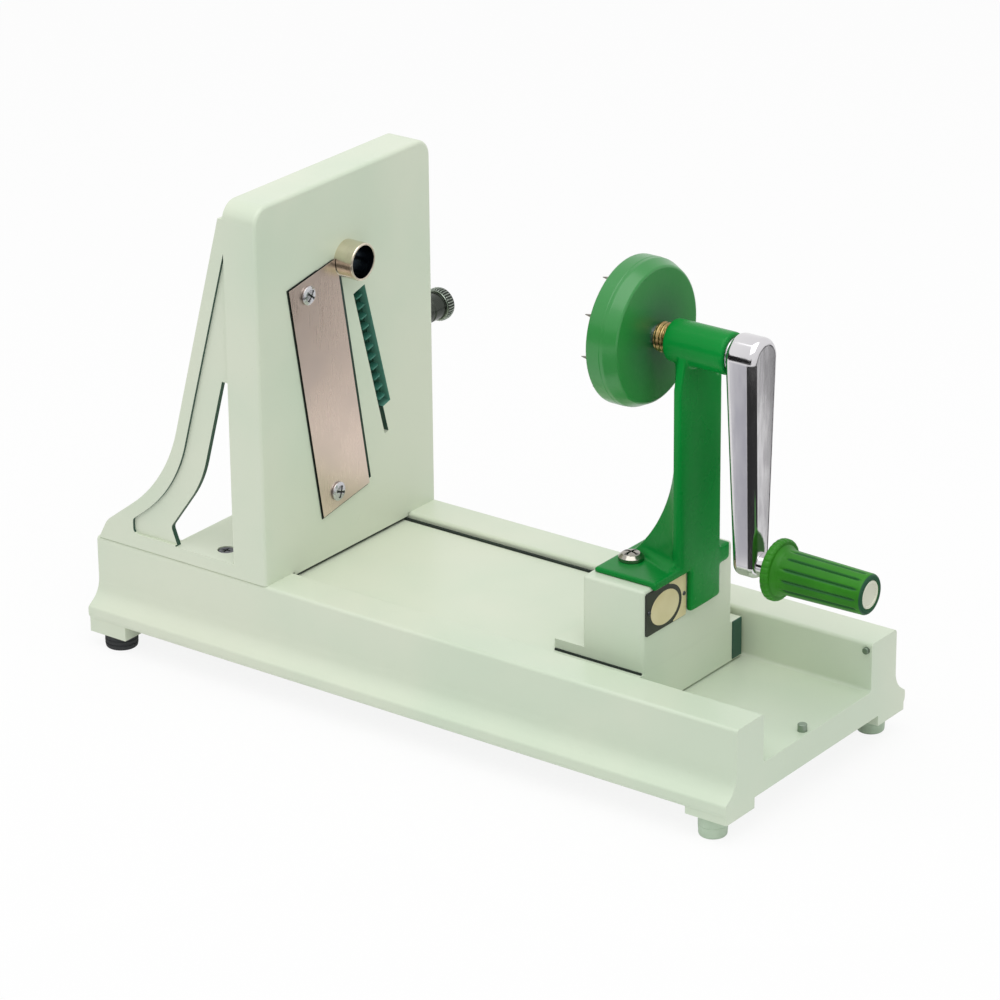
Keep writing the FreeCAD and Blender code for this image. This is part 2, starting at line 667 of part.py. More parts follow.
HEAD_SEAT = "(window_sill - stand_head_sink)"
stand_screws = []
stand_holes = []
for side, sign in SIDES.items():
    for end, x in (("rear", REAR_SCREW), ("front", FRONT_SCREW)):
        y = "%s * stand_screw_side" % sign
        name = "%s_%s_stand" % (side, end)
        bite = "(%s - rail_top + stand_screw_bite)" % HEAD_SEAT
        stand_screws.append(screw(name + "_screw", "up", x, y, HEAD_SEAT, "stand_head_radius",
                                  "stand_head_sink - stand_head_low", "stand_screw_radius",
                                  bite))
        stand_holes.append(rod(name + "_hole", "z", x, y, "rail_top - overcut",
                               "stand_screw_radius + seat_fit",
                               "window_sill - rail_top + 2 * overcut"))
        stand_holes.append(rod(name + "_seat", "z", x, y, HEAD_SEAT,
                               "stand_head_radius + head_fit", "stand_head_sink + overcut"))
        screw_holes.append(rod(name + "_tap", "z", x, y,
                               "rail_top - stand_screw_bite - hole_spare",
                               "stand_screw_radius + seat_fit", "stand_screw_bite + overcut"))
STOP_X = "(base_length - stop_inset)"
LATCH_X = "(base_length - latch_inset)"
pin_holes = [
    rod("stop_hole", "z", STOP_X, "stop_side", "bed_top - pin_seat",
        "stop_radius + seat_fit", "pin_seat + overcut"),
    rod("latch_hole", "y", LATCH_X, CHANNEL + " - overcut", "rail_top - latch_drop",
        "latch_radius + seat_fit", "pin_seat + overcut"),
]
carved = cut("bed_carved", bed, *hollows)
padded = fuse("bed_padded", carved, *pads)
node("base_frame", cut("bed_finished", padded, *screw_holes, *pin_holes))
node("front_pegs", group("peg_pair", feet["peg"]))
node("rubber_feet", group("rubber_pair", feet["rubber"]))
node("foot_screws", group("foot_screw_set", feet["screw"]))
node("stop_pin", turned("stop_turned", "up", STOP_X, "stop_side", "bed_top - pin_seat", [
    ("0", "0"),
    ("pin_seat + stop_height", "0"),
    ("pin_seat + stop_height", "stop_radius", "pin_round"),
    ("0", "stop_radius"),
]))
node("rail_peg", turned("latch_turned", "y", LATCH_X, CHANNEL + " - latch_radius",
                        "rail_top - latch_drop", [
    ("0", "0"),
    ("latch_radius + pin_seat", "0"),
    ("latch_radius + pin_seat", "latch_radius"),
    ("0", "latch_radius", "pin_round"),
]))

# Blade stand: a plate hollowed from behind, two side wings and a web.
# The knife's frame starts at the middle of its upper end, the comb's at its own middle.
KNIFE = ("knife_side", "(axis_height - knife_drop)", "blade_tilt")
COMB = ("comb_side", "(axis_height - comb_drop)", "comb_tilt")
plate = prism("plate_casting", "end", PLATE_BACK, both_sides([
    (HALF, "rail_top"),
    (HALF, "plate_top", "plate_corner"),
]), "plate_thick")
round_edges(plate, "cast_round",
            lambda p: near(p.x, "plate_face") and not near(p.z, "rail_top"))
plate_hollow = prism("plate_hollow", "end", PLATE_BACK + " - overcut", both_sides([
    (HALF + " - plate_rim", "window_sill", "hollow_foot_round"),
    (HALF + " - plate_rim", "plate_top - plate_rim", "hollow_head_round"),
]), "plate_thick - plate_wall + overcut")
shell = cut("plate_shell", plate, plate_hollow)
wing_outline = [
    ("wing_tip_run", "rail_top"),
    (PLATE_BACK + " + overcut", "rail_top"),
    (PLATE_BACK + " + overcut", "wing_top"),
    (PLATE_BACK + " - wing_head_width", "wing_top"),
    ("wing_waist_run", "wing_waist_height", "wing_sweep"),
    ("wing_toe_run", "wing_toe_height", "wing_toe_round"),
]
panel_outline = [
    ("wing_toe_run + 2.6 * wing_border", "window_sill + panel_lift", "panel_round"),
    (PLATE_BACK, "window_sill + panel_lift"),
    (PLATE_BACK, "wing_top - 2.6 * wing_border"),
    ("wing_waist_run + 0.86 * wing_border", "wing_waist_height - 0.57 * wing_border",
     "wing_sweep - wing_border"),
    ("wing_toe_run + 2.6 * wing_border", "wing_toe_height + 0.7 * wing_border", "panel_round"),
]
solids = []
carvings = []
FACES = {"near": ("wing_thick - " + HALF, "wing_recess - " + HALF),
         "far": (HALF, HALF + " + overcut")}
for side, (wing_start, panel_start) in FACES.items():
    solids.append(prism(side + "_wing", "side", wing_start, wing_outline, "wing_thick"))
    carvings.append(prism(side + "_panel", "side", panel_start, panel_outline,
                          "wing_recess + overcut"))
solids.append(box("web", "web_rear", "-(%s - wing_thick / 2)" % HALF, "rail_top",
                  PLATE_BACK + " + overcut - web_rear", "base_width - wing_thick",
                  "window_sill - rail_top"))
WALL_BACK = "(plate_face - plate_wall)"
solids.append(rod("core_boss", "x", WALL_BACK + " - core_behind - core_boss_lip", "0",
                  "axis_height", "core_radius + core_boss_wall",
                  "core_behind + core_boss_lip + overcut"))
solids.append(lean_box("comb_guide", WALL_BACK + " - guide_depth", "-(comb_width / 2 + guide_wall)",
                       "-(comb_length / 2 + guide_wall)", COMB, "guide_depth + overcut",
                       "comb_width + 2 * guide_wall", "comb_length + 2 * guide_wall"))
CLAMP_X = "(plate_face - clamp_behind)"
CLAMP_Y = ("(comb_side + comb_width / 2 / cos(comb_tilt) + clamp_radius * tan(comb_tilt)"
           " + clamp_gap)")
CLAMP_Z = "(axis_height - comb_drop + clamp_rise)"
solids.append(rod("clamp_boss", "y", CLAMP_X,
                  HALF + " - plate_rim + overcut - clamp_boss_length", CLAMP_Z,
                  "clamp_boss_radius", "clamp_boss_length"))
carvings.append(prism("window", "side", HALF + " + overcut", [
    ("window_sill_run", "window_sill"),
    (PLATE_BACK, "window_sill"),
    (PLATE_BACK, "window_head"),
    (PLATE_BACK + " - window_head_width", "window_head"),
    ("window_bend_run", "window_bend_height", "window_sweep"),
    ("window_rear", "window_rear_height", "window_round"),
], "base_width + 2 * overcut"))
carvings.append(lean_box("throat", PLATE_BACK + " - overcut", "knife_width / 2 - throat_under",
                         "-(knife_length + throat_length) / 2", KNIFE,
                         "plate_thick + 2 * overcut", "throat_under + throat_open",
                         "throat_length"))
carvings.append(lean_box("comb_slot", PLATE_BACK + " - overcut", "-comb_width / 2",
                         "-comb_length / 2", COMB, "plate_thick + 2 * overcut", "comb_width",
                         "comb_length"))
carvings.append(lean_box("comb_slot_tail", WALL_BACK, "-comb_width / 2",
                         "-(comb_length / 2 + comb_tail)", COMB, "plate_wall + overcut",
                         "comb_tail_width", "comb_tail + overcut"))
carvings.append(rod("core_hole", "x", PLATE_BACK, "0", "axis_height",
                    "core_radius + seat_fit", "plate_thick + overcut"))
carvings.append(rod("clamp_hole", "y", CLAMP_X, "comb_side", CLAMP_Z,
                    "clamp_radius + running_fit", HALF + " - comb_side + overcut"))
knife_screws = []
for end, v in (("upper", "-knife_screw_inset"), ("lower", "knife_screw_inset - knife_length")):
    y, z = leaned("knife_screw_side - knife_width / 2", v, *KNIFE)
    hole = rod(end + "_knife_hole", "x", "plate_face - knife_screw_bite - hole_spare", y, z,
               "knife_screw_radius + seat_fit",
               "knife_screw_bite + hole_spare + knife_thick + overcut")
    carvings.append(hole)
    knife_screws.append((hole, screw(end + "_knife_screw", "x", "plate_face + knife_thick",
                                     y, z, "knife_head_radius", "knife_head_height",
                                     "knife_screw_radius", "knife_screw_bite + knife_thick")))
stand = fuse("stand_casting", shell, *solids)
node("blade_stand", cut("stand_finished", stand, *carvings, *stand_holes))
node("stand_screws", group("stand_screw_set", stand_screws))

# Knife: a flat plate with a ground edge, leaning on the working face, with one
# corner hollowed round the core tube.
knife = prism("knife_plate", "top", "0", [
    ("0", "-knife_width / 2"),
    ("knife_thick", "-knife_width / 2"),
    ("knife_thick", "knife_width / 2"),
    ("knife_thick - knife_edge", "knife_width / 2"),
    ("0", "knife_width / 2 - knife_bevel"),
], "knife_length")
knife_y, knife_z = leaned("0", "-knife_length", *KNIFE)
place(knife, "plate_face", knife_y, knife_z, Rotation(Vector(1, 0, 0), number_of("blade_tilt")))
knife.setExpression("Placement.Rotation.Angle", bound("blade_tilt"))
tube_clearance = rod("tube_clearance", "x", "plate_face - overcut", "0", "axis_height",
                     "core_radius + knife_gap", "knife_thick + 2 * overcut")
node("main_blade", cut("knife_finished", knife, tube_clearance,
                       *[hole for hole, head in knife_screws]))
node("blade_screws", group("knife_screw_pair", [head for hole, head in knife_screws]))
CORE_START = WALL_BACK + " - core_behind"
CORE_LENGTH = "(core_behind + plate_wall + core_standout)"
node("core_tube", turned("core_turned", "x", CORE_START, "0", "axis_height", [
    ("0", "core_radius - core_wall"),
    (CORE_LENGTH, "core_radius - core_wall"),
    (CORE_LENGTH, "core_radius", "core_round"),
    ("0", "core_radius"),
]))

# Comb: a holder that slides through the plate, with a row of small teeth.
BAR_X = "(plate_face - comb_depth - comb_bar)"
bar = lean_box("comb_bar_block", BAR_X, "-(comb_width / 2 - comb_play)",
               "-(comb_length / 2 - comb_play)", COMB, "comb_bar",
               "comb_width - 2 * comb_play", "comb_length - 2 * comb_play")
teeth = []
pitch = "(comb_length / (tooth_count + 0.5))"
for order in range(int(number_of("tooth_count"))):
    v = "(%d - (tooth_count - 1) / 2) * %s - tooth_thick / 2" % (order, pitch)
    teeth.append(lean_box("tooth_%02d" % order, "plate_face - comb_depth - tooth_seat",
                          "-tooth_width / 2", v, COMB, "tooth_seat + tooth_height",
                          "tooth_width", "tooth_thick"))
node("comb_holder", cut("comb_holder_slotted", bar, *teeth))
node("comb_teeth", group("teeth_row", teeth))

# Clamp screw and its knurled knob on the far side of the plate.
KNOB_START = "(%s + knob_standout - knob_rim - knob_neck)" % HALF
SCREW_END = "(%s + knob_neck - knob_floor)" % KNOB_START
KNOB_BORE = "knob_neck - knob_floor + 2 * running_fit"
node("clamp_screw", turned("clamp_turned", "y", CLAMP_X, CLAMP_Y, CLAMP_Z, [
    ("0", "0"),
    ("%s - %s" % (SCREW_END, CLAMP_Y), "0"),
    ("%s - %s" % (SCREW_END, CLAMP_Y), "clamp_radius"),
    ("0", "clamp_radius", "pin_round"),
]))
node("clamp_knob", turned("knob_turned", "y", CLAMP_X, KNOB_START, CLAMP_Z, [
    (KNOB_BORE, "0"),
    ("knob_neck + knob_rim", "0"),
    ("knob_neck + knob_rim", "knob_radius", "knob_round"),
    ("knob_neck", "knob_radius", "knob_round"),
    ("knob_neck", "knob_neck_radius"),
    ("0", "knob_neck_radius", "knob_round"),
    ("0", "clamp_radius + seat_fit"),
    (KNOB_BORE, "clamp_radius + seat_fit"),
]))

# Sled on its runners and glides.
SLED_SIDE = "(sled_width / 2)"
SLED_BOTTOM = "(bed_top + runner_height)"
sled = box("sled_block", SLED_REAR, "-" + SLED_SIDE, SLED_BOTTOM,
           "sled_length", "sled_width", "sled_top - %s" % SLED_BOTTOM)
sled_cuts = [box("sled_hollow", SLED_REAR + " + sled_wall", "-(%s - sled_wall)" % SLED_SIDE,
                 SLED_BOTTOM + " - overcut", "sled_length - 2 * sled_wall",
                 "sled_width - 2 * sled_wall",
                 "sled_top - sled_wall - %s + overcut" % SLED_BOTTOM)]
runners = []
glides = []
for side, sign in SIDES.items():
    middle = "%s * (%s - sled_wall / 2)" % (sign, SLED_SIDE)
    runner = box(side + "_runner", SLED_REAR + " + runner_inset",
                 middle + " - runner_width / 2", "bed_top + running_fit",
                 "sled_length - 2 * runner_inset", "runner_width",
                 "runner_height + runner_sink - running_fit")
    runners.append(runner)
    low = SLED_SIDE + " - runner_sink"
    glide_width = "(%s - sliding_gap - %s)" % (CHANNEL, low)
    start = low if sign == "1" else "-(%s - sliding_gap)" % CHANNEL
    for end, x in (("rear", SLED_REAR + " + glide_inset"),
                   ("front", "sled_end - glide_inset - glide_length")):
        glides.append(box("%s_%s_glide" % (side, end), x, start,
                          "(%s + sled_top - glide_height) / 2" % SLED_BOTTOM,
                          "glide_length", glide_width, "glide_height"))
sled_cuts += runners + glides

# Block on the sled, with a low toe behind it.
BLOCK_FAR = "(block_side + block_width / 2)"
block = prism("block_casting", "top", "sled_top", [
    (BLOCK_REAR, BLOCK_NEAR, "cast_round"),
    ("sled_end", BLOCK_NEAR, "cast_round"),
    ("sled_end", BLOCK_FAR, "cast_round"),
    (BLOCK_REAR, BLOCK_FAR, "cast_round"),
], "block_top - sled_top")
round_edges(block, "0.8 * cast_round", lambda p: near(p.z, "block_top"))
block_hollow = box("block_hollow", BLOCK_REAR + " + block_wall", BLOCK_NEAR + " + block_wall",
                   "sled_top - overcut", "block_length - 2 * block_wall",
                   "block_width - 2 * block_wall", "block_top - block_wall - sled_top + overcut")
toe = box("block_toe", BLOCK_REAR + " - toe_length", BLOCK_NEAR, "sled_top",
          "toe_length + block_wall / 2", "block_width", "toe_height")
BLOCK_SCREW_REAR = "(%s + block_screw_inset)" % BLOCK_REAR
BLOCK_SCREW_FRONT = "(sled_end - sled_wall - foot_head_radius - head_fit)"
block_posts = []
block_holes = []
block_screws = []
for side, sign in SIDES.items():
    for end, x in (("rear", BLOCK_SCREW_REAR), ("front", BLOCK_SCREW_FRONT)):
        y = "block_side + %s * (block_width / 2 - block_screw_inset)" % sign
        name = "%s_%s_block" % (side, end)
        block_posts.append(rod(name + "_post", "z", x, y, "sled_top", "block_post_radius",
                               "block_post_height"))
        block_holes.append(rod(name + "_hole", "z", x, y, "sled_top - sled_wall - overcut",
                               "bracket_screw_radius + seat_fit",
                               "overcut + sled_wall + block_screw_reach + hole_spare"))
        block_screws.append(screw(name + "_screw", "down", x, y, "sled_top - sled_wall",
                                  "foot_head_radius", "foot_head_height",
                                  "bracket_screw_radius", "sled_wall + block_screw_reach"))
FOOT_REAR = "(%s + bracket_rear_gap)" % BLOCK_REAR
BRACKET_SCREW_X = "(%s + bracket_screw_run)" % FOOT_REAR
bracket_screws = []
bracket_holes = []
for side, y in (("near", "-bracket_screw_near"), ("far", "bracket_screw_far")):
    bracket_screws.append(screw(side + "_bracket_screw", "up", BRACKET_SCREW_X, y, FOOT_TOP,
                                "bracket_head_radius", "bracket_head_height",
                                "bracket_screw_radius", "bracket_thick + bracket_screw_bite"))
    bracket_holes.append(rod(side + "_bracket_hole", "z", BRACKET_SCREW_X, y,
                             "block_top - bracket_screw_bite - hole_spare",
                             "bracket_screw_radius + seat_fit",
                             "bracket_screw_bite + hole_spare + bracket_thick + overcut"))
BADGE_Y = "(%s + badge_gap)" % BLOCK_NEAR
BADGE_Z = "(block_top - badge_gap - badge_height)"
rivets = []
rivet_holes = []
for side, y in (("near", BADGE_Y + " + rivet_inset"),
                ("far", BADGE_Y + " + badge_length - rivet_inset")):
    z = BADGE_Z + " + badge_height / 2"
    rivet_holes.append(rod(side + "_rivet_hole", "x", "sled_end - rivet_reach - hole_spare", y, z,
                           "rivet_radius + seat_fit",
                           "rivet_reach + hole_spare + badge_thick + overcut"))
    rivets.append(screw(side + "_rivet", "x", "sled_end + badge_thick", y, z,
                        "1.6 * rivet_radius", "0.8 * rivet_radius", "rivet_radius",
                        "badge_thick + rivet_reach"))
badge = box("badge_blank", "sled_end", BADGE_Y, BADGE_Z, "badge_thick", "badge_length",
            "badge_height")
block_shell = cut("block_shell", fuse("block_and_toe", block, toe), block_hollow)
block_solid = fuse("block_solid", block_shell, *block_posts)
node("sled", cut("sled_finished", sled, *sled_cuts, *block_holes))
node("sled_runners", group("runner_pair", runners))
node("side_glides", group("glide_set", glides))
node("carriage_block", cut("block_finished", block_solid, *block_holes, *bracket_holes,
                           *rivet_holes))
node("block_screws", group("block_screw_set", block_screws))
node("badge_plate", cut("badge_finished", badge, *rivet_holes))
node("badge_rivets", group("rivet_pair", rivets))

# Crank bracket: foot plate with an apron, post, curved rib and bearing tube.
foot_plate = prism("foot_plate", "top", "block_top", [
    (FOOT_REAR, "-bracket_near", "bracket_round"),
    (POST_FACE, "-bracket_near", "bracket_round"),
    (POST_FACE, "bracket_far", "bracket_round"),
    (FOOT_REAR, "bracket_far", "bracket_corner"),
], "bracket_thick")
apron = prism("apron", "end", "sled_end", [
    ("-bracket_near", "block_top - lip_drop"),
    ("-apron_near", "block_top - lip_drop"),
    ("-apron_near", "block_top - skirt_drop", "bracket_round"),
    ("apron_far", "block_top - skirt_drop", "apron_corner"),
    ("apron_far", "block_top - lug_drop"),
    ("bracket_far", "block_top - lug_drop", "bracket_round"),
    ("bracket_far", FOOT_TOP),
    ("-bracket_near", FOOT_TOP),
], "bracket_thick")
post = prism("post", "end", POST_FACE + " - post_thick", [
    ("-post_near", "block_top"),
    ("post_far", "block_top"),
    ("post_far", "axis_height - 2.6 * bearing_radius", "post_far_bend"),
    ("0.86 * bearing_radius", "axis_height"),
    ("-0.86 * bearing_radius", "axis_height"),
    ("-post_near", "axis_height - 1.8 * bearing_radius", "post_near_bend"),
], "post_thick")
RIB_FACE = "(%s - post_thick - rib_depth)" % POST_FACE
rib = prism("rib", "side", "rib_half", [
    (FOOT_REAR + " + rib_foot_run", "block_top"),
    (POST_FACE + " - overcut", "block_top"),
    (POST_FACE + " - overcut", "axis_height"),
    (RIB_FACE, "axis_height"),
    (RIB_FACE, FOOT_TOP + " + rib_bend", "rib_sweep"),
    (FOOT_REAR + " + rib_foot_run", FOOT_TOP),
], "2 * rib_half")
tube = turned("bearing_tube", "x", BEARING_REAR, "0", "axis_height", [
    ("0", "0"),
    ("bearing_length", "0"),
    ("bearing_length", "bearing_radius", "bearing_round"),
    ("0", "bearing_radius", "bearing_round"),
])
bore = rod("bearing_bore", "x", BEARING_REAR + " - overcut", "0", "axis_height", "bore_radius",
           "bearing_length + 2 * overcut")
bracket = fuse("bracket_casting", foot_plate, apron, post, rib, tube)
node("crank_bracket", cut("bracket_finished", bracket, bore, *bracket_holes))
node("bracket_screws", group("bracket_screw_pair", bracket_screws))
bushes = []
for end, x in (("rear", BEARING_REAR), ("front", BEARING_FRONT + " - bush_length")):
    bushes.append(turned(end + "_bush", "x", x, "0", "axis_height", [
        ("0", "shaft_radius + running_fit"),
        ("bush_length", "shaft_radius + running_fit"),
        ("bush_length", "bore_radius - seat_fit"),
        ("0", "bore_radius - seat_fit"),
    ]))
node("bearing_bushes", group("bush_pair", bushes))

# Crank: food disk with its spikes, shaft, collar and arm.
CUP_FLOOR = "(%s + disk_cup_depth)" % DISK_FRONT
SHAFT_LENGTH = "(%s + arm_seat - %s)" % (ARM_FACE, CUP_FLOOR)
disk = turned("disk_turned", "x", DISK_FRONT, "0", "axis_height", [
    ("0", "disk_radius - disk_border"),
    ("disk_hollow", "disk_radius - disk_border - disk_bevel"),
    ("disk_hollow", "disk_cup_radius"),
    ("disk_cup_depth", "disk_cup_radius - disk_cup_taper"),
    ("disk_cup_depth", "shaft_radius + seat_fit"),
    ("disk_thick", "shaft_radius + seat_fit"),
    ("disk_thick", "disk_radius - disk_shoulder", "disk_back_round"),
    ("disk_step", "disk_radius", "disk_step_round"),
    ("0", "disk_radius", "disk_edge_round"),
])
spike_seats = ring_of("spike_seats", DISK_FRONT, "axis_height", "spike_turn", [
    ("-overcut", "0"),
    ("spike_seat + hole_spare", "0"),
    ("spike_seat + hole_spare", "spike_radius + seat_fit"),
    ("-overcut", "spike_radius + seat_fit"),
], "spike_circle", "spike_count")
spikes = ring_of("spike_ring", DISK_FRONT, "axis_height", "spike_turn", [
    ("-spike_length", "0"),
    ("spike_seat", "0"),
    ("spike_seat", "spike_radius"),
    ("0", "spike_radius"),
    ("-spike_length", "spike_tip"),
], "spike_circle", "spike_count")
node("food_disk", cut("disk_finished", disk, spike_seats))
node("disk_spikes", spikes)
shaft = turned("shaft_turned", "x", CUP_FLOOR, "0", "axis_height", [
    ("0", "disk_screw_radius + seat_fit"),
    ("disk_screw_reach + hole_spare", "disk_screw_radius + seat_fit"),
    ("disk_screw_reach + hole_spare", "0"),
    (SHAFT_LENGTH, "0"),
    (SHAFT_LENGTH, "shaft_radius"),
    ("0", "shaft_radius"),
])
node("disk_screw", turned("disk_screw_turned", "x", CUP_FLOOR, "0", "axis_height", [
    ("-disk_head_height", "0"),
    ("disk_screw_reach", "0"),
    ("disk_screw_reach", "disk_screw_radius"),
    ("0", "disk_screw_radius"),
    ("0", "shaft_radius + disk_flange"),
    ("-disk_flange_thick", "shaft_radius + disk_flange"),
    ("-disk_head_height", "disk_head_radius"),
]))
COLLAR_START = "(%s - 2 * running_fit - collar_length)" % BEARING_REAR
node("shaft_collar", turned("collar_turned", "x", COLLAR_START, "0", "axis_height", [
    ("0", "shaft_radius + seat_fit"),
    ("collar_length", "shaft_radius + seat_fit"),
    ("collar_length", "collar_radius", "collar_round"),
    ("0", "collar_radius", "collar_round"),
]))
node("thrust_washer", turned("washer_turned", "x", BEARING_FRONT + " + 2 * running_fit", "0",
                             "axis_height", [
    ("0", "shaft_radius + running_fit"),
    ("washer_thick", "shaft_radius + running_fit"),
    ("washer_thick", "washer_radius"),
    ("0", "washer_radius"),
]))
ARM_END = "(%s + arm_thick_top)" % ARM_FACE
arm_front = prism("arm_front", "end", ARM_FACE + " - overcut", [
    ("-arm_radius_foot", GRIP_HEIGHT + " - arm_radius_foot", "0.96 * arm_radius_foot"),
    ("arm_radius_foot", GRIP_HEIGHT + " - arm_radius_foot", "0.96 * arm_radius_foot"),
    ("arm_radius_top", "axis_height + arm_radius_top", "0.94 * arm_radius_top"),
    ("-arm_radius_top", "axis_height + arm_radius_top", "0.94 * arm_radius_top"),
], "arm_thick_top + arm_rake + 2 * overcut")
arm_side = prism("arm_side", "side", "arm_radius_top + overcut", [
    (ARM_FOOT_FACE, GRIP_HEIGHT + " - arm_radius_foot - overcut"),
    (ARM_FOOT_END, GRIP_HEIGHT + " - arm_radius_foot - overcut"),
    (ARM_FOOT_END, GRIP_HEIGHT + " + 1.3 * arm_radius_foot"),
    (ARM_END, "axis_height - 1.1 * arm_radius_top"),
    (ARM_END, "axis_height + arm_radius_top + overcut"),
    (ARM_FACE, "axis_height + arm_radius_top + overcut"),
    (ARM_FACE, "axis_height - 1.1 * arm_radius_top"),
    (ARM_FOOT_FACE, GRIP_HEIGHT + " + 1.3 * arm_radius_foot"),
], "2 * (arm_radius_top + overcut)")
shaft_hole = rod("arm_shaft_hole", "x", ARM_FACE + " - overcut", "0", "axis_height",
                 "shaft_radius + seat_fit", "arm_seat + overcut + hole_spare")
axle_hole = rod("arm_axle_hole", "x", ARM_FOOT_END + " - axle_seat - hole_spare", "0",
                GRIP_HEIGHT, "axle_radius + seat_fit", "axle_seat + hole_spare + overcut")
SET_X = "(%s + arm_seat / 2)" % ARM_FACE
SET_HOLE_Z = "(axis_height + shaft_radius - set_screw_bite)"
SET_SCREW_Z = "(%s + 2 * running_fit)" % SET_HOLE_Z
SET_LENGTH = "(axis_height + arm_radius_top - set_screw_low - %s)" % SET_SCREW_Z
set_hole = rod("set_screw_hole", "z", SET_X, "0", SET_HOLE_Z, "set_screw_radius + seat_fit",
               "arm_radius_top")
node("crank_shaft", cut("shaft_finished", shaft, set_hole))
node("crank_arm", cut("arm_finished", common("arm_bar", arm_front, arm_side),
                      shaft_hole, axle_hole, set_hole))
node("set_screw", turned("set_screw_turned", "up", SET_X, "0", SET_SCREW_Z, [
    ("0", "0"),
    (SET_LENGTH, "0"),
    (SET_LENGTH, "set_screw_radius"),
    ("0", "set_screw_radius"),
]))

# Grip that turns on its own axle.
CAP_START = "(grip_length - cap_thick)"
HEAD_START = "(%s - axle_end_gap - axle_head_length)" % CAP_START
grip = turned("grip_turned", "x", GRIP_START, "0", GRIP_HEIGHT, [
    ("0", "axle_radius + running_fit"),
    (HEAD_START + " - running_fit", "axle_radius + running_fit"),
    (HEAD_START + " - running_fit", "axle_head_radius + axle_head_play"),
    (CAP_START, "axle_head_radius + axle_head_play"),
    (CAP_START, "cap_radius + seat_fit"),
    ("grip_length", "cap_radius + seat_fit"),
    ("grip_length", "grip_radius_outer", "grip_end_round"),
    ("guard_thick + guard_slope", "grip_radius_inner", "guard_root_bend"),
    ("guard_thick", "grip_radius_inner + guard_root"),
    ("guard_thick", "guard_radius", "guard_round"),
    ("0", "guard_radius", "guard_round"),
])
FLUTE_CIRCLE = "(grip_radius_inner - flute_depth + flute_radius)"
flutes = ring_of("grip_flutes", GRIP_START, GRIP_HEIGHT, "360 / flute_count / 2", [
    ("guard_thick + flute_start", "0"),
    ("grip_length - flute_end", "0"),
    ("grip_length - flute_end", "flute_radius + grip_radius_inner - grip_radius_outer"),
    ("guard_thick + flute_start + flute_slope", "flute_radius"),
], FLUTE_CIRCLE, "flute_count")
node("handle_grip", cut("grip_finished", grip, flutes))
node("grip_cap", turned("cap_turned", "x", "%s + %s" % (GRIP_START, CAP_START), "0",
                        GRIP_HEIGHT, [
    ("0", "0"),
    ("cap_thick", "0"),
    ("cap_thick", "cap_radius", "cap_round"),
    ("0", "cap_radius"),
]))
AXLE_START = "(%s - axle_seat)" % ARM_FOOT_END
AXLE_NECK = "(%s + %s - %s)" % (GRIP_START, HEAD_START, AXLE_START)
node("grip_axle", turned("axle_turned", "x", AXLE_START, "0", GRIP_HEIGHT, [
    ("0", "0"),
    (AXLE_NECK + " + axle_head_length", "0"),
    (AXLE_NECK + " + axle_head_length", "axle_head_radius", "axle_head_round"),
    (AXLE_NECK, "axle_head_radius"),
    (AXLE_NECK, "axle_radius"),
    ("0", "axle_radius"),
]))
node("axle_spacer", turned("spacer_turned", "x", ARM_FOOT_END, "0", GRIP_HEIGHT, [
    ("0", "axle_radius + seat_fit"),
    ("spacer_thick", "axle_radius + seat_fit"),
    ("spacer_thick", "spacer_radius", "spacer_round"),
    ("0", "spacer_radius"),
]))

for name, thing in NODES.items():
    thing.Label = name
doc.recompute()

for thing in doc.Objects:
    if "Invalid" in thing.State or "Error" in thing.State:
        raise ValueError("%s does not compute: %s" % (thing.Label, thing.State))
for name, thing in NODES.items():
    if thing.Shape.isNull() or not thing.Shape.isValid() or not thing.Shape.Solids:
        raise ValueError("%s has no sound shape" % name)

os.makedirs("parts", exist_ok=True)
for name, thing in NODES.items():
    thing.Shape.exportStep("parts/%s.step" % name)
    print(name, len(thing.Shape.Solids), round(thing.Shape.Volume), thing.Shape.BoundBox)
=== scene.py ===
# %% [markdown]
# # A hand cranked spiral slicer
#
# The machine is a cast iron bed with two rails, an upright blade stand, and a
# carriage that carries a crank. All sizes and places come from the packed
# model, so this script only gives the pieces their soft edges, their small
# shapes and their finish.

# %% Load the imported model
import json
import math

import bmesh
import bpy
from mathutils import Matrix, Vector


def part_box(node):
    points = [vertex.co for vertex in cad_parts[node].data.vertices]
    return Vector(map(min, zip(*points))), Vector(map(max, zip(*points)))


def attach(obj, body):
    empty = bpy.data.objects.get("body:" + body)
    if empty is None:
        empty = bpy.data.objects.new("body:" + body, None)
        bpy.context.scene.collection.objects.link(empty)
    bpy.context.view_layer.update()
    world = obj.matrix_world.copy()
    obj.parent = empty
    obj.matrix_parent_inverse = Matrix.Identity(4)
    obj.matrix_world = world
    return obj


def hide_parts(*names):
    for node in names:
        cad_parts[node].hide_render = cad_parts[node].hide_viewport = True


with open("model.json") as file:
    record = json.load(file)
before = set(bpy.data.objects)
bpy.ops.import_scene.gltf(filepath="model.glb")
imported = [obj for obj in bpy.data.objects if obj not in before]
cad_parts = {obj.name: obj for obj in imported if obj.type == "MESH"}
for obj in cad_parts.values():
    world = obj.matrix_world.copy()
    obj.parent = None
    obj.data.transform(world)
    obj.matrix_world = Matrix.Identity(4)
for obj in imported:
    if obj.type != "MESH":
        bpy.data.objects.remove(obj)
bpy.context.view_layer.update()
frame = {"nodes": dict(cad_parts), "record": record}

scene = bpy.context.scene
print("packed model:", len(frame["nodes"]), "nodes")

# %% [markdown]
# The pieces are easiest to think of in millimetres, measured from the blade
# end of the bed, from its middle plane and from the floor. One function turns
# such a place into the frame's metres, so nothing else has to know the origin.

# %% Places in millimetres
MM = 0.001
bed_low, bed_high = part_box("base_frame")
BLADE_END = bed_low.x
MIDDLE = (bed_low.y + bed_high.y) / 2


def at(x, y, z):
    """A place on the machine, in the frame's metres."""
    return Vector((BLADE_END + x * MM, MIDDLE + y * MM, z * MM))


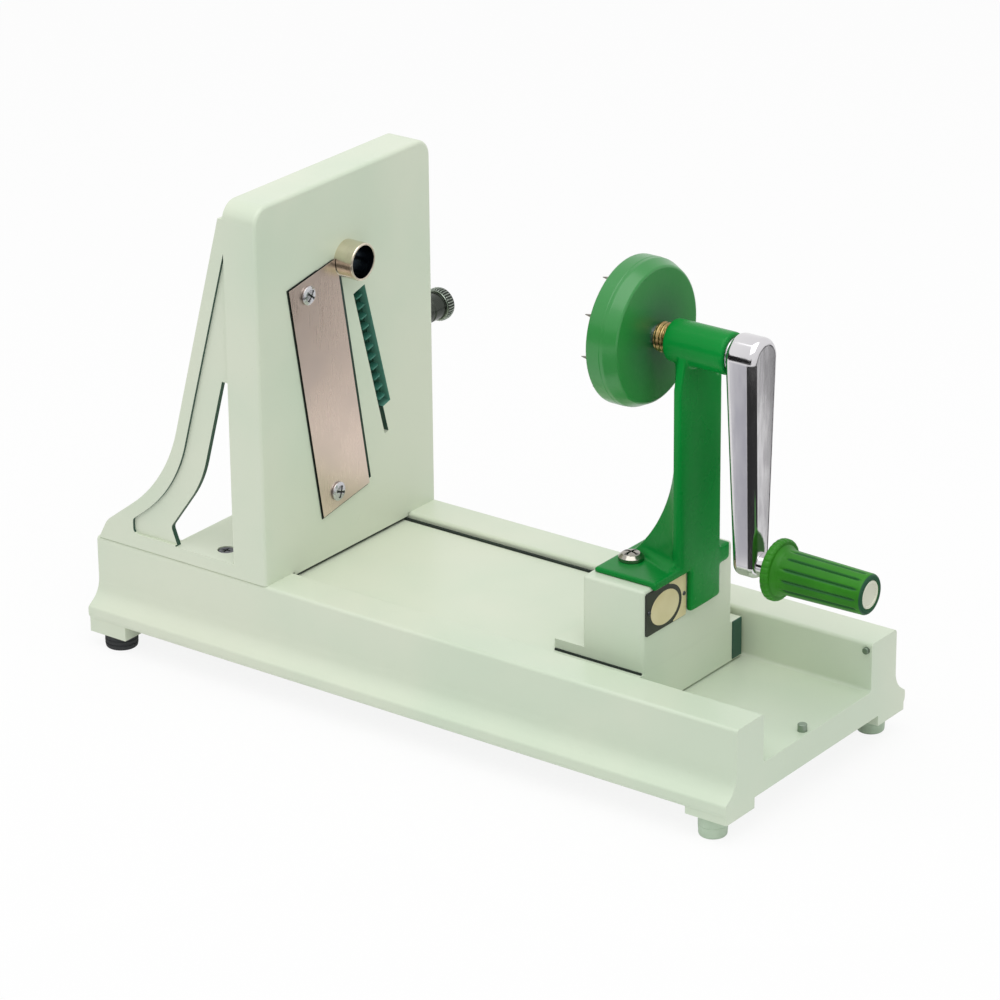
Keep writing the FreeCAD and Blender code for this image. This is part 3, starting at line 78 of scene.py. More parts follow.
def own(x, y, z):
    """A place in a pattern piece's own frame, in metres."""
    return Vector((x, y, z)) * MM


def measured(place):
    """The millimetres of a place on the machine, as `at` takes them."""
    return (place - at(0, 0, 0)) / MM


def size_of(node):
    """How long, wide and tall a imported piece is, in millimetres."""
    low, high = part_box(node)
    return (high - low) / MM


def end_of(node, axis=0):
    """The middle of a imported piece's low end along an axis."""
    low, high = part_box(node)
    place = (low + high) / 2
    place[axis] = low[axis]
    return place


print("bed, mm:", [round(v, 1) for v in size_of("base_frame")])

# %% [markdown]
# The camera stands where the photographer stood: to the right of the crank and
# a little above, with a long lens. A long lens keeps the rails nearly parallel.

# %% Camera
AZIMUTH = math.radians(36.78)
ELEVATION = math.radians(22.86)
ROLL = math.radians(-0.56)
CAMERA_PLACE = at(1328.97, -1521.43, 897.6)
LENS_MM = 161.2
SENSOR_MM = 36
VIEW_END = 20
lens = bpy.data.cameras.new("photo_camera")
lens.lens = LENS_MM
lens.sensor_width = SENSOR_MM
lens.clip_end = VIEW_END
camera = bpy.data.objects.new("photo_camera", lens)
camera.matrix_world = (
    Matrix.Translation(CAMERA_PLACE) @ Matrix.Rotation(AZIMUTH, 4, "Z")
    @ Matrix.Rotation(math.pi / 2 - ELEVATION, 4, "X") @ Matrix.Rotation(ROLL, 4, "Z"))
scene.collection.objects.link(camera)
scene.camera = camera
print("camera at", [round(v, 3) for v in CAMERA_PLACE])

# %% [markdown]
# Shader maths reads best as plain sums. `Tap` wraps one socket of a material's
# node tree, and its operators add Math nodes. `Finish` makes a material with a
# principled shader, sets what is the same all over on the shader itself, and
# has one method, `add`, that makes any other node.

# %% Shader sums
class Tap:
    """A socket of a node tree, ready for sums."""

    def __init__(self, finish, socket):
        self.finish = finish
        self.socket = socket

    def _sum(self, operation, first, second):
        return self.finish.add("ShaderNodeMath", {"operation": operation}, {0: first, 1: second})

    def __add__(self, other):
        return self._sum("ADD", self, other)

    def __radd__(self, other):
        return self._sum("ADD", other, self)

    def __sub__(self, other):
        return self._sum("SUBTRACT", self, other)

    def __rsub__(self, other):
        return self._sum("SUBTRACT", other, self)

    def __mul__(self, other):
        return self._sum("MULTIPLY", self, other)

    def __rmul__(self, other):
        return self._sum("MULTIPLY", other, self)

    def clipped(self):
        """The same value, held between 0 and 1."""
        tap = self + 0
        tap.socket.node.use_clamp = True
        return tap


def linear(text):
    """A colour written as on the web, as the shader wants it."""
    parts = [int(text[i:i + 2], 16) / 255 for i in (0, 2, 4)]
    return [c / 12.92 if c <= 0.04045 else ((c + 0.055) / 1.055) ** 2.4 for c in parts] + [1]


class Finish:
    """A material: a principled shader and what varies over the surface."""

    def __init__(self, name, **constants):
        self.material = bpy.data.materials.new(name)
        self.material.use_nodes = True
        self.tree = self.material.node_tree
        self.shader = self.tree.nodes["Principled BSDF"]
        self.set(**constants)
        self.place = self.add("ShaderNodeTexCoord", out="Object")

    def add(self, kind, settings=None, values=None, out=0):
        node = self.tree.nodes.new(kind)
        for word, value in (settings or {}).items():
            setattr(node, word, value)
        for where, value in (values or {}).items():
            self.feed(node.inputs[where], value)
        return Tap(self, node.outputs[out])

    def feed(self, socket, value):
        """Links a socket, or sets it to a number, a vector or a written colour."""
        if isinstance(value, Tap):
            self.tree.links.new(value.socket, socket)
        else:
            socket.default_value = linear(value) if isinstance(value, str) else value

    def set(self, **sockets):
        """Feeds the shader's sockets, such as base_color."""
        for word, value in sockets.items():
            name = word.replace("_", " ").title().replace("Ior", "IOR")
            self.feed(self.shader.inputs[name], value)
        return self

    def noise(self, scale, detail, stretch=(1, 1, 1)):
        """Cloudy noise in object space; scale is in features per metre."""
        place = self.add("ShaderNodeMapping", values={"Vector": self.place, "Scale": stretch})
        return self.add("ShaderNodeTexNoise", values={
            "Vector": place, "Scale": scale, "Detail": detail})

    def mix(self, amount, first, second):
        """A colour between two colours."""
        return self.add("ShaderNodeMix", {"data_type": "RGBA"},
                        {0: amount, 6: first, 7: second}, out=2)

    def ramp(self, value, low=0.35, high=0.7):
        """0 below low, 1 above high, smooth between."""
        return self.add("ShaderNodeMapRange", {"interpolation_type": "SMOOTHSTEP"},
                        {0: value, 1: low, 2: high, 3: 0, 4: 1})

    def away_from(self, place):
        """How far a point of the surface is from an axis along X, in metres."""
        tap = self.place
        for operation, other in (("SUBTRACT", place), ("MULTIPLY", (0, 1, 1))):
            tap = self.add("ShaderNodeVectorMath", {"operation": operation}, {0: tap, 1: other})
        return self.add("ShaderNodeVectorMath", {"operation": "LENGTH"}, {0: tap}, "Value")

    def bump(self, height, depth, over=None):
        """A bump whose depth is a real size in metres."""
        below = {"Normal": over} if over else {}
        return self.add("ShaderNodeBump", None, {"Height": height, "Distance": depth} | below)

    def shade_and_stain(self, skin, **shades):
        """A colour with painted shade over it, and grime where a mark holds some, wherever the
        mesh carries the mark of that name.
        """
        for name, shade in shades.items():
            mark = self.add("ShaderNodeAttribute", {"attribute_name": name}, out="Fac")
            skin = self.mix(mark, skin, shade)
        return skin

    def done(self, skin, rough, normal):
        """Sets what varies over the surface and gives the material."""
        return self.set(base_color=skin, roughness=rough.clipped(), normal=normal).material

    def ray(self, kind):
        """1 where the picture is reached by rays of a kind, else 0."""
        return self.add("ShaderNodeLightPath", out="Is " + kind + " Ray")


print("shader helpers ready")

# %% [markdown]
# The castings are enamelled a pale mint green. Sand leaves the iron faintly
# lumpy, and the enamel over it has the fine waves of sprayed paint, so the
# finish has a bump of each size, a slow change of tone and a little dust. Where
# a mark on the mesh says so, shade is painted into the colour: dark in deep
# corners and gaps, and a shaded teal on the walls of the comb's slot.

# %% Mint enamel
# Painted shade: DEEP_SHADE darkens marked corners, grooves and gaps, and SLOT_SHADE gives the
# slot's walls their shaded teal.
DEEP_SHADE = "234a3d"
SLOT_SHADE = "649e8d"
PEEL_DEPTH = 0.000012


def enamel(name, light, deep, dust, rough, coat, lump_depth, shine=0.5):
    """Sprayed enamel over cast iron, from three written colours."""
    finish = Finish(name, coat_weight=coat, coat_roughness=0.16, specular_ior_level=shine)
    cloudy = finish.mix(finish.ramp(finish.noise(9, 3)), light, deep)
    specks = finish.ramp(finish.noise(1400, 1), 0.73, 0.8) * finish.ramp(
        finish.noise(40, 2), 0.45, 0.6)
    skin = finish.mix(specks * 0.6, cloudy, dust)
    lumps = finish.bump(finish.noise(210, 3), lump_depth)
    peel = finish.bump(finish.noise(1100, 1), PEEL_DEPTH, lumps)
    return finish.done(finish.shade_and_stain(skin, seam=DEEP_SHADE, slot=SLOT_SHADE),
                       finish.noise(60, 3) * 0.12 + rough, peel)


mint_enamel = enamel("mint_enamel", "dde4d0", "d1dfc9", "bdc6ae", 0.34, 0.15, 0.00005)
# Painted shade: the comb holder and its teeth are coloured as the slot's shade, in a dark and a
# mid teal.
mint_comb = enamel("mint_comb", "235443", "1b4535", "163a2c", 0.4, 0.1, 0.00003)
comb_coat = enamel("comb_coat", "428473", "377463", "285549", 0.45, 0.05, 0.00002, 0.3)
disk_enamel = enamel("disk_enamel", "308f40", "268338", "1b672b", 0.28, 0.3, 0.00007)
green_enamel = enamel("green_enamel", "068c36", "057c2f", "046528", 0.22, 0.08, 0.00007, 0.12)
print("enamels:", mint_enamel.name, green_enamel.name)

# %% [markdown]
# Metals differ in how they were worked. Chrome is smooth with hairline
# scratches, the knife is ground along its length, and turned pieces carry the
# rings that the lathe tool left. Each is the same shader with another pattern.
# Where a mark on the mesh says so, shade is painted dark into screw recesses
# and seats, with some grime, and onto the knife's edges and the knob; inside
# the core tube the colour is painted dark as shade.

# %% Metals
# Painted shade, with some grime on screw seats: the dark laid where the grime mark says.
SHADE_AND_GRIME = "1b1c1a"
TUBE_BORE = 7.8
BORE_SHADE = "2b333a"
BORE_BLUR = 0.0002


def worked_metal(name, colour, tint, rough, stretch=(1, 1, 1), scale=900, depth=0.000006):
    """Metal with fine marks; stretch is small along the marks."""
    finish = Finish(name, metallic=1.0)
    marks = finish.noise(scale, 3, stretch)
    cloud = finish.ramp(finish.noise(30, 2))
    skin = finish.shade_and_stain(finish.mix(cloud, colour, tint), grime=SHADE_AND_GRIME)
    return finish.done(skin, marks * 0.16 + cloud * 0.05 + rough, finish.bump(marks, depth))


def turned_metal(name, colour, tint, rough, ring_scale, depth, along="X", bore=None):
    """Metal with the rings of a lathe tool, square to its axis; bore is (axis, radius)."""
    finish = Finish(name, metallic=1.0)
    rings = finish.add("ShaderNodeTexWave", {"wave_type": "BANDS", "bands_direction": along}, {
        "Vector": finish.place, "Scale": ring_scale, "Distortion": 0.4, "Detail": 2.0})
    cloud = finish.ramp(finish.noise(90, 2))
    skin = finish.mix(cloud, colour, tint)
    # Painted shade: inside the bore radius the colour turns dark.
    if bore:
        axis, radius = bore
        outside = finish.ramp(finish.away_from(axis), radius, radius + BORE_BLUR)
        skin = finish.mix(outside, BORE_SHADE, skin)
    return finish.done(finish.shade_and_stain(skin, grime=SHADE_AND_GRIME),
                       rings * 0.1 + cloud * 0.08 + rough, finish.bump(rings, depth))


chrome = worked_metal("chrome", "dcdadc", "d3d1d4", 0.02, (1, 1, 0.15), 500, 0.000002)
knife_steel = worked_metal("knife_steel", "dfccbe", "d4c3b8", 0.2, (1, 1, 0.04), 1800, 0.000004)
zinc = worked_metal("zinc", "c9c9cc", "b2b2b6", 0.18)
dark_steel = worked_metal("dark_steel", "5a5c60", "45474b", 0.28)
dull_zinc = worked_metal("dull_zinc", "93a292", "7d8c7c", 0.4, depth=0.00001)
screw_steel = worked_metal("screw_steel", "a9a59c", "8d8a82", 0.06, depth=0.000004)
tube_steel = turned_metal("tube_steel", "e3d9c6", "d2c7b4", 0.14, 700, 0.000004,
                          bore=(end_of("core_tube"), TUBE_BORE * MM))
knob_metal = turned_metal("knob_metal", "9aa398", "7f887e", 0.16, 900, 0.000004, "Y")
brass = turned_metal("brass", "b39a68", "8f7a50", 0.2, 800, 0.000005)
print("metals ready")

# %% [markdown]
# Plastic, rubber and nylon have no paint film. The grip is glossy and slightly
# uneven where hands have polished it, the feet are matt and a little dusty.

# %% Plastic and rubber
def moulded(name, light, deep, rough, grain_scale, grain_depth, coat=0.0, shine=0.5):
    """A moulded skin with a fine grain, from two written colours."""
    finish = Finish(name, coat_weight=coat, coat_roughness=0.08, specular_ior_level=shine)
    tone = finish.ramp(finish.noise(35, 3))
    # Where the mesh carries the seam mark, as the grip's grooves and end do, the colour is
    # painted dark as shade.
    return finish.done(finish.shade_and_stain(finish.mix(tone, light, deep), seam=DEEP_SHADE),
                       finish.noise(120, 3) * 0.15 + rough,
                       finish.bump(finish.noise(grain_scale, 2), grain_depth))


grip_plastic = moulded("grip_plastic", "34881c", "297516", 0.34, 700, 0.00002, 0.05, 0.2)
cap_plastic = moulded("cap_plastic", "e8ead8", "dadcc8", 0.3, 900, 0.00001)
nylon = moulded("nylon", "e6e6da", "d6d6c8", 0.45, 1200, 0.00001)
peg_plastic = moulded("peg_plastic", "c4d6c0", "b3c8b0", 0.4, 900, 0.00002)
# Painted shade: a near black matt finish for the strips and plates that stand in for shade in
# gaps.
felt = moulded("felt", "1c2a21", "141f18", 0.8, 2600, 0.00006)
black_rubber = moulded("black_rubber", "26282a", "35383a", 0.65, 1500, 0.00004)
badge_cream = moulded("badge_cream", "e4d9ae", "d6c996", 0.3, 900, 0.00001, 0.3)
badge_line = moulded("badge_line", "15170f", "1e2119", 0.35, 900, 0.00001, 0.3)
print("plastics ready")

# %% [markdown]
# A cast or machined piece never has a knife-sharp edge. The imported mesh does,
# so a copy of it is merged, its flat faces are joined again, and a Bevel
# modifier rounds every edge that turns by more than a set angle. Flat faces
# with holes are then filled anew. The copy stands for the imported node.

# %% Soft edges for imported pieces
BODY_OF = {node: body for body, members in frame["record"]["behaviour"]["bodies"].items()
           for node in members}
MERGE_REACH = 0.000004
FLAT_TURN = math.radians(0.6)
PLANE_TURN = math.radians(0.4)
SOFT_TURN = math.radians(34)
FEWEST_CORNERS = 5


def mesh_of(shape, name):
    """Ends a bmesh and returns it as a mesh."""
    mesh = bpy.data.meshes.new(name)
    shape.to_mesh(mesh)
    shape.free()
    return mesh


def mesh_object(name, mesh):
    piece = bpy.data.objects.new(name, mesh)
    scene.collection.objects.link(piece)
    return piece


def merged_copy(node):
    """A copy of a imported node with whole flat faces."""
    shape = bmesh.new()
    shape.from_mesh(frame["nodes"][node].data)
    bmesh.ops.remove_doubles(shape, verts=shape.verts, dist=MERGE_REACH)
    bmesh.ops.dissolve_limit(shape, angle_limit=FLAT_TURN, verts=shape.verts, edges=shape.edges)
    return mesh_of(shape, node + "_shape")


def baked(piece):
    """The piece as a plain mesh, with its modifiers applied."""
    bpy.context.view_layer.update()
    graph = bpy.context.evaluated_depsgraph_get()
    mesh = bpy.data.meshes.new_from_object(piece.evaluated_get(graph))
    name, old = piece.name, piece.data
    bpy.data.objects.remove(piece)
    if old.users == 0:
        bpy.data.meshes.remove(old)
    return mesh_object(name, mesh)


def smooth(piece, degrees=32):
    """Smooth shading that still breaks at real edges."""
    piece.data.polygons.foreach_set("use_smooth", [True] * len(piece.data.polygons))
    piece.data.set_sharp_from_angle(angle=math.radians(degrees))


def dress(piece, finish, node, stands_in=True):
    """Gives a piece its material and a node's body; most stand in for that node."""
    piece.data.materials.clear()
    piece.data.materials.append(finish)
    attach(piece, BODY_OF[node])
    if stands_in:
        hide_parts(node)
    return piece


def flat_region(start):
    """The faces that lie in one plane with a face and join it."""
    region = [start]
    seen = {start}
    for face in region:
        for other in (near for edge in face.edges for near in edge.link_faces):
            lean = start.normal.angle(other.normal, 0)
            if other not in seen and min(lean, math.pi - lean) < PLANE_TURN:
                seen.add(other)
                region.append(other)
    return region


def refill_flats(mesh):
    """Fills flat faces of many corners anew, so that holes in them stay clean."""
    shape = bmesh.new()
    shape.from_mesh(mesh)
    wide = sorted((f for f in shape.faces if len(f.verts) >= FEWEST_CORNERS),
                  key=lambda f: -f.calc_area())
    for start in wide:
        if not start.is_valid:
            continue
        region = flat_region(start)
        inside = set(region)
        normal = start.normal.copy()
        edges = {edge for face in region for edge in face.edges}
        border = [e for e in edges if sum(f in inside for f in e.link_faces) == 1]
        bmesh.ops.delete(shape, geom=region, context="FACES_ONLY")
        bare = [e for e in edges if not e.link_faces and e not in border]
        bmesh.ops.delete(shape, geom=bare, context="EDGES")
        bmesh.ops.triangle_fill(shape, use_beauty=True, edges=border, normal=normal)
    shape.to_mesh(mesh)
    shape.free()


def weighted(piece, weight=50):
    """Flat faces stay flat under smooth shading."""
    modifier = piece.modifiers.new("flat_faces", "WEIGHTED_NORMAL")
    modifier.keep_sharp = True
    modifier.weight = weight
    return baked(piece)


def softened(node, finish, width, segments=3):
    """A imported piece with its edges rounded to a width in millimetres."""
    piece = mesh_object(node + "_soft", merged_copy(node))
    bevel = piece.modifiers.new("soft_edges", "BEVEL")
    bevel.width = width * MM
    bevel.segments = segments
    bevel.limit_method = "ANGLE"
    bevel.angle_limit = SOFT_TURN
    bevel.miter_outer = "MITER_ARC"
    piece = baked(piece)
    refill_flats(piece.data)
    smooth(piece)
    return dress(weighted(piece, 100), finish, node)


for node, width in (("base_frame", 0.9), ("blade_stand", 0.7), ("sled", 0.7),
                    ("carriage_block", 0.6)):
    piece = softened(node, mint_enamel, width)
    print(piece.name, len(piece.data.polygons), "faces")

# %% [markdown]
# Shade is painted into the deep places of the blade stand: the rear walls of
# the panels and windows in its wings, the throat beside the knife's edge and
# the tail of the comb's slot are dark, and the slot's walls are a shaded teal.
# Thin dark strips stand in for the shade in the gaps by the sled: one on each
# of the sled's sides, one on its end, one under the plate, behind a lip, and a
# bead along the block's foot.

# %% Painted shade in corners and gaps
KNIFE_FRAME = (-25.7, 196.4, 10)
COMB_FRAME = (18, 147, 15.5)


def leaning(u, v, side, height, tilt):
    """Y and Z of a point in a frame that leans on the plate's face."""
    c, s = math.cos(math.radians(tilt)), math.sin(math.radians(tilt))
    return side + u * c - v * s, height + u * s + v * c


def in_wing(x, y, z, normal):
    return x < 83 and abs(y) > 52 and z > 60 and normal.x > 0.6


def in_pocket(leans, x_top, steep, u_low, u_high, v_low, v_high):
    """A test for the walls of a pocket that lies in a leaning frame."""
    side, height, tilt = leans
    c, s = math.cos(math.radians(tilt)), math.sin(math.radians(tilt))

    def test(x, y, z, normal):
        u = (y - side) * c + (z - height) * s
        v = (z - height) * c - (y - side) * s
        return (x < x_top and abs(normal.x) < steep
                and u_low < u < u_high and v_low < v < v_high)
    return test


def mark(piece, name, *tests, value=1):
    """Marks the faces whose middle and normal pass a test."""
    kept = piece.data.attributes
    marks = kept.get(name) or kept.new(name, "FLOAT", "FACE")
    found = 0
    for face in piece.data.polygons:
        if any(test(*measured(face.center), face.normal) for test in tests):
            marks.data[face.index].value = value
            found += 1
    print(piece.name, "faces marked", name + ":", found)


throat = in_pocket(KNIFE_FRAME, 103.5, 0.5, 13.5, 20.7, -120.5, -0.5)
slot_tail = in_pocket(COMB_FRAME, 103.7, 0.7, -1.7, 1.7, -47.4, -33.3)
stand = bpy.data.objects["blade_stand_soft"]
# Painted shade: the wings' recess walls, the throat and the slot's tail are darkened.
mark(stand, "seam", in_wing, throat, slot_tail)
# Painted shade: the comb slot's walls take a shaded teal.
mark(stand, "slot", in_pocket(COMB_FRAME, 103.5, 0.5, -4.6, 4.6, -33.3, 33.3))


def strip(name, finish, node, low, high, edge=0.25):
    """A bar between two corners, with soft edges, on the body of a node."""
    shape = bmesh.new()
    bmesh.ops.create_cube(shape, size=1)
    middle, size = (at(*low) + at(*high)) / 2, at(*high) - at(*low)
    for vert in shape.verts:
        vert.co = middle + vert.co * size
    bmesh.ops.bevel(shape, geom=shape.edges, offset=edge * MM, segments=3, profile=0.5,
                    affect="EDGES")
    piece = mesh_object(name, mesh_of(shape, name))
    smooth(piece)
    dress(weighted(piece, 100), finish, node, stands_in=False)


strip("plate_lip", mint_enamel, "blade_stand", (86, -43.6, 52.1), (103.95, 43.6, 54.6))
# Painted shade: dark strips in the gaps under the plate, by the sled's sides and end, and along
# the block's foot.
strip("plate_felt", felt, "blade_stand", (90, -41.4, 50.65), (102.9, 41.4, 52.6))
strip("sled_felt_far", felt, "sled_runners", (88, 41.5, 46.6), (288, 43.3, 51.3))
strip("sled_felt_near", felt, "sled_runners", (88, -43.3, 46.6), (288, -41.5, 51.3))
strip("sled_wiper", mint_comb, "sled_runners", (297.5, 34.3, 31.7), (298.2, 41.7, 50.5))
strip("block_bead", felt, "sled_runners", (249.6, -37.8, 50.3), (297.2, -36.8, 51.45))

# %% [markdown]
# Round pieces are turned on a lathe. `add_turned` sweeps a profile of (along,
# radius) corners round an axis; a third number rounds that corner with a true
# arc. Several turned shapes can share one mesh, as the two pegs do. What isn't
# round is skinned over a row of equal rings, from one end cap to the other.

# %% Turned shapes
SIDES = 72
ARC_STEPS = 5
X_AXIS, Y_AXIS, Z_AXIS = (1, 0, 0), (0, 1, 0), (0, 0, 1)


def rounded(corners, steps=ARC_STEPS):
    """The points of a profile, with an arc wherever a corner has a radius."""
    points = []
    for i, corner in enumerate(corners):
        here = Vector(corner[:2])
        if not corner[2:]:
            points.append(here)
            continue
        radius = corner[2]
        before = (Vector(corners[i - 1][:2]) - here).normalized()
        after = (Vector(corners[(i + 1) % len(corners)][:2]) - here).normalized()
        half = before.angle(after) / 2
        middle = here + (before + after).normalized() * (radius / math.sin(half))
        first = here + before * (radius / math.tan(half)) - middle
        last = here + after * (radius / math.tan(half)) - middle
        points += [middle + first.slerp(last, step / steps) * radius
                   for step in range(steps + 1)]
    return points


def turned(along, radius, angle):
    """A point about the X axis, in metres; along and radius are in millimetres."""
    return own(along, radius * math.cos(angle), radius * math.sin(angle))


def join_rings(shape, rings, sides):
    """Faces between rings of points; a ring of one point closes the piece."""
    for first, second in zip(rings, rings[1:] + rings[:1]):
        if len(first) == len(second) == 1:
            continue
        for i in range(sides):
            j = i + 1
            corners = (first[i % len(first)], first[j % len(first)],
                       second[j % len(second)], second[i % len(second)])
            shape.faces.new(dict.fromkeys(corners))


def add_turned(shape, place, axis, profile, sides):
    """Adds a turned piece to a bmesh, from the corners of its profile."""
    turn = Vector(X_AXIS).rotation_difference(Vector(axis)).to_matrix()
    rings = []
    for along, radius in rounded(profile):
        around = [0] if radius < 0.001 else [math.tau * i / sides for i in range(sides)]
        rings.append([shape.verts.new(place + turn @ turned(along, radius, angle))
                      for angle in around])
    join_rings(shape, rings, sides)


def skin_over(shape, rings, place=at, capped=True):
    """Joins a row of equal rings of places, and closes it into a solid if capped."""
    rings = [[shape.verts.new(place(*spot)) for spot in ring] for ring in rings]
    sides = len(rings[0])
    for first, second in zip(rings, rings[1:]):
        for i in range(sides):
            j = (i + 1) % sides
            shape.faces.new((first[i], first[j], second[j], second[i]))
    if capped:
        shape.faces.new(rings[0])
        shape.faces.new(rings[-1])
    return rings


def plain_shape(name, shape):
    """A bmesh as a piece whose faces point outwards."""
    bmesh.ops.recalc_face_normals(shape, faces=shape.faces)
    return mesh_object(name, mesh_of(shape, name))


def finished_shape(name, shape, degrees=32):
    piece = plain_shape(name, shape)
    smooth(piece, degrees)
    return weighted(piece)


def turned_shape(profile, *places, axis=X_AXIS, sides=SIDES):
    """A bmesh with one turning at each of its places."""
    shape = bmesh.new()
    for place in places:
        add_turned(shape, place, axis, profile, sides)
    return shape


def turned_piece(name, finish, node, profile, *places, axis=X_AXIS):
    return dress(finished_shape(name, turned_shape(profile, *places, axis=axis)), finish, node)


def skinned_piece(name, rings, place=at, degrees=32):
    """A solid piece between rings of places."""
    shape = bmesh.new()
    skin_over(shape, rings, place)
    return finished_shape(name, shape, degrees)


def cut_out(piece, cutter, crossed=False):
    """Cuts one piece out of another and drops it; a crossed one overlaps itself."""
    cut = piece.modifiers.new("cut", "BOOLEAN")
    cut.object = cutter
    cut.solver = "EXACT"
    cut.use_self = crossed
    piece = baked(piece)
    bpy.data.objects.remove(cutter)
    return piece


print("a turned ring has", SIDES, "sides")

# %% [markdown]
# The food disk is one casting: a thick rim, a shoulder that slopes in behind
# it, a shallow hollow in front and a cup that clears the core tube. The
# profile is the real section, so the rim catches a line of light at its step.
# Shade is painted on its back round the hub: the points there carry a mark that darkens them
# towards the hub.

# %% Food disk
DISK_RADIUS = 34
DISK_THICK = 15
DISK_BORE = 4.92
HUB_SHADE = 0.5
HUB_SHADE_REACH = 28
HUB_SHADE_FADE = 20
disk_place = end_of("food_disk")
AXIS_Z = disk_place.z / MM
disk = turned_piece("food_disk_cast", disk_enamel, "food_disk", [
    (0, 27, 0.5),
    (1.2, 25.5, 0.8),
    (1.2, 11, 0.8),
    (6, 10, 1.0),
    (6, DISK_BORE),
    (DISK_THICK, DISK_BORE),
    *((DISK_THICK, radius) for radius in (9, 13, 17, 21, 26)),
    (DISK_THICK, 31.2, 1.6),
    (9.4, DISK_RADIUS - 0.15, 2.2),
    (7.6, DISK_RADIUS - 0.15, 0.5),
    (7.3, DISK_RADIUS, 0.5),
    (0, DISK_RADIUS, 1.2),
], disk_place)
# Painted shade: the disk's back grows darker towards the hub.
hub_shade = disk.data.attributes.new("seam", "FLOAT", "POINT")
for vert, shade_and_stain in zip(disk.data.vertices, hub_shade.data):
    along, across, up = (vert.co - disk_place) / MM
    if along > DISK_THICK - 0.5:
        share = (HUB_SHADE_REACH - math.hypot(across, up)) / HUB_SHADE_FADE
        shade_and_stain.value = HUB_SHADE * max(0, min(1, share))
print("disk axis is", round(AXIS_Z, 1), "mm above the floor")

# %% [markdown]
# The core tube is drawn steel with a lip that is rolled over. Its bore is what
# one sees from the crank's side, so the wall has a real thickness, and shade is
# painted dark on its finish inside the bore.

# %% Core tube
TUBE_RADIUS = 9
tube_length = size_of("core_tube").x
turned_piece("core_tube_turned", tube_steel, "core_tube", [
    (0, TUBE_BORE), (tube_length, TUBE_BORE, 0.45), (tube_length, TUBE_RADIUS, 0.6),
    (0, TUBE_RADIUS),
], end_of("core_tube"))
print("core tube, mm:", round(tube_length, 1))

# %% [markdown]
# Two pegs hold up the crank end and two rubber feet the blade end. The pegs
# have a slight waist line where the mould closed, the rubber has two grooves
# that let it grip and give.

# %% Feet
PEG_RADIUS = 6.7
PEG_HEIGHT = 10.5
RUBBER_RADIUS = 8
RUBBER_HEIGHT = 7
FOOT_SIDE = 64.5
PEG_X = 354.5
RUBBER_X = 12.5
HEAD_SEAT = 4.4
HEAD_BORE = 4.5
SHANK_BORE = 2.52
screw_hole = [(0, HEAD_BORE), (HEAD_SEAT, HEAD_BORE), (HEAD_SEAT, SHANK_BORE)]
turned_piece("front_pegs_moulded", peg_plastic, "front_pegs", screw_hole + [
    (PEG_HEIGHT, SHANK_BORE), (PEG_HEIGHT, PEG_RADIUS), (5.6, PEG_RADIUS, 0.2),
    (5.4, PEG_RADIUS - 0.2, 0.1), (5.2, PEG_RADIUS, 0.2), (0, PEG_RADIUS - 0.3, 1.2),
], at(PEG_X, -FOOT_SIDE, 0), at(PEG_X, FOOT_SIDE, 0), axis=Z_AXIS)
turned_piece("rubber_feet_moulded", black_rubber, "rubber_feet", screw_hole + [
    (RUBBER_HEIGHT, SHANK_BORE), (RUBBER_HEIGHT, RUBBER_RADIUS),
    *((height, RUBBER_RADIUS - depth, arc) for groove in (4.8, 2.6)
      for height, depth, arc in ((groove + 0.4, 0, 0.3), (groove, 0.6, 0.2),
                                 (groove - 0.4, 0, 0.3))),
    (0, RUBBER_RADIUS - 0.4, 0.8),
], at(RUBBER_X, -FOOT_SIDE, 0), at(RUBBER_X, FOOT_SIDE, 0), axis=Z_AXIS)
print("feet done")

# %% [markdown]
# The grip is moulded with twelve flats between narrow grooves, and a guard
# flange that keeps the hand off the arm. Its shape follows a rule, so it is
# built ring by ring: the radius is a function of the place along the grip and
# of the angle round it. The grooves and the end carry a mark for painted shade.

# %% Grip
GRIP_LENGTH = 49.2
GRIP_INNER = 10.3
GRIP_OUTER = 9.4
GRIP_BORE = 3.06
GUARD_THICK = 4.2
GUARD_RADIUS = 14.2
GUARD_SLOPE = 2
GUARD_NOTCHES = 30
NOTCH_DEPTH = 0.35
CAP_RADIUS = 6.6
CAP_THICK = 2.6
NUT_RADIUS = 5.1
NUT_FLOOR = 6
GROOVES = 12
GROOVE_DEPTH = 0.75
GRIP_SIDES = GROOVES * 20
TAPER_STEPS = 36
TAPER_START = GUARD_THICK + GUARD_SLOPE
grip_start = end_of("handle_grip")


def grip_groove(angle):
    """0 on a flat, 1 at the bottom of a groove."""
    turn = (angle / math.tau * GROOVES) % 1
    return max(0.0, 1 - min(turn, 1 - turn) / 0.2) ** 1.5


def groove_fade(along):
    """Grooves run out before the guard and before the end."""
    into = (along - GUARD_THICK - 3.2) / 2.5
    out = (GRIP_LENGTH - 2.2 - along) / 1.2
    return max(0.0, min(1.0, into, out))


def grip_radius(along, radius, angle):
    if along > TAPER_START:
        return radius - GROOVE_DEPTH * groove_fade(along) * grip_groove(angle)
    if radius > GUARD_RADIUS - 0.9:
        return radius - NOTCH_DEPTH * max(0.0, math.cos(angle * GUARD_NOTCHES))
    return radius


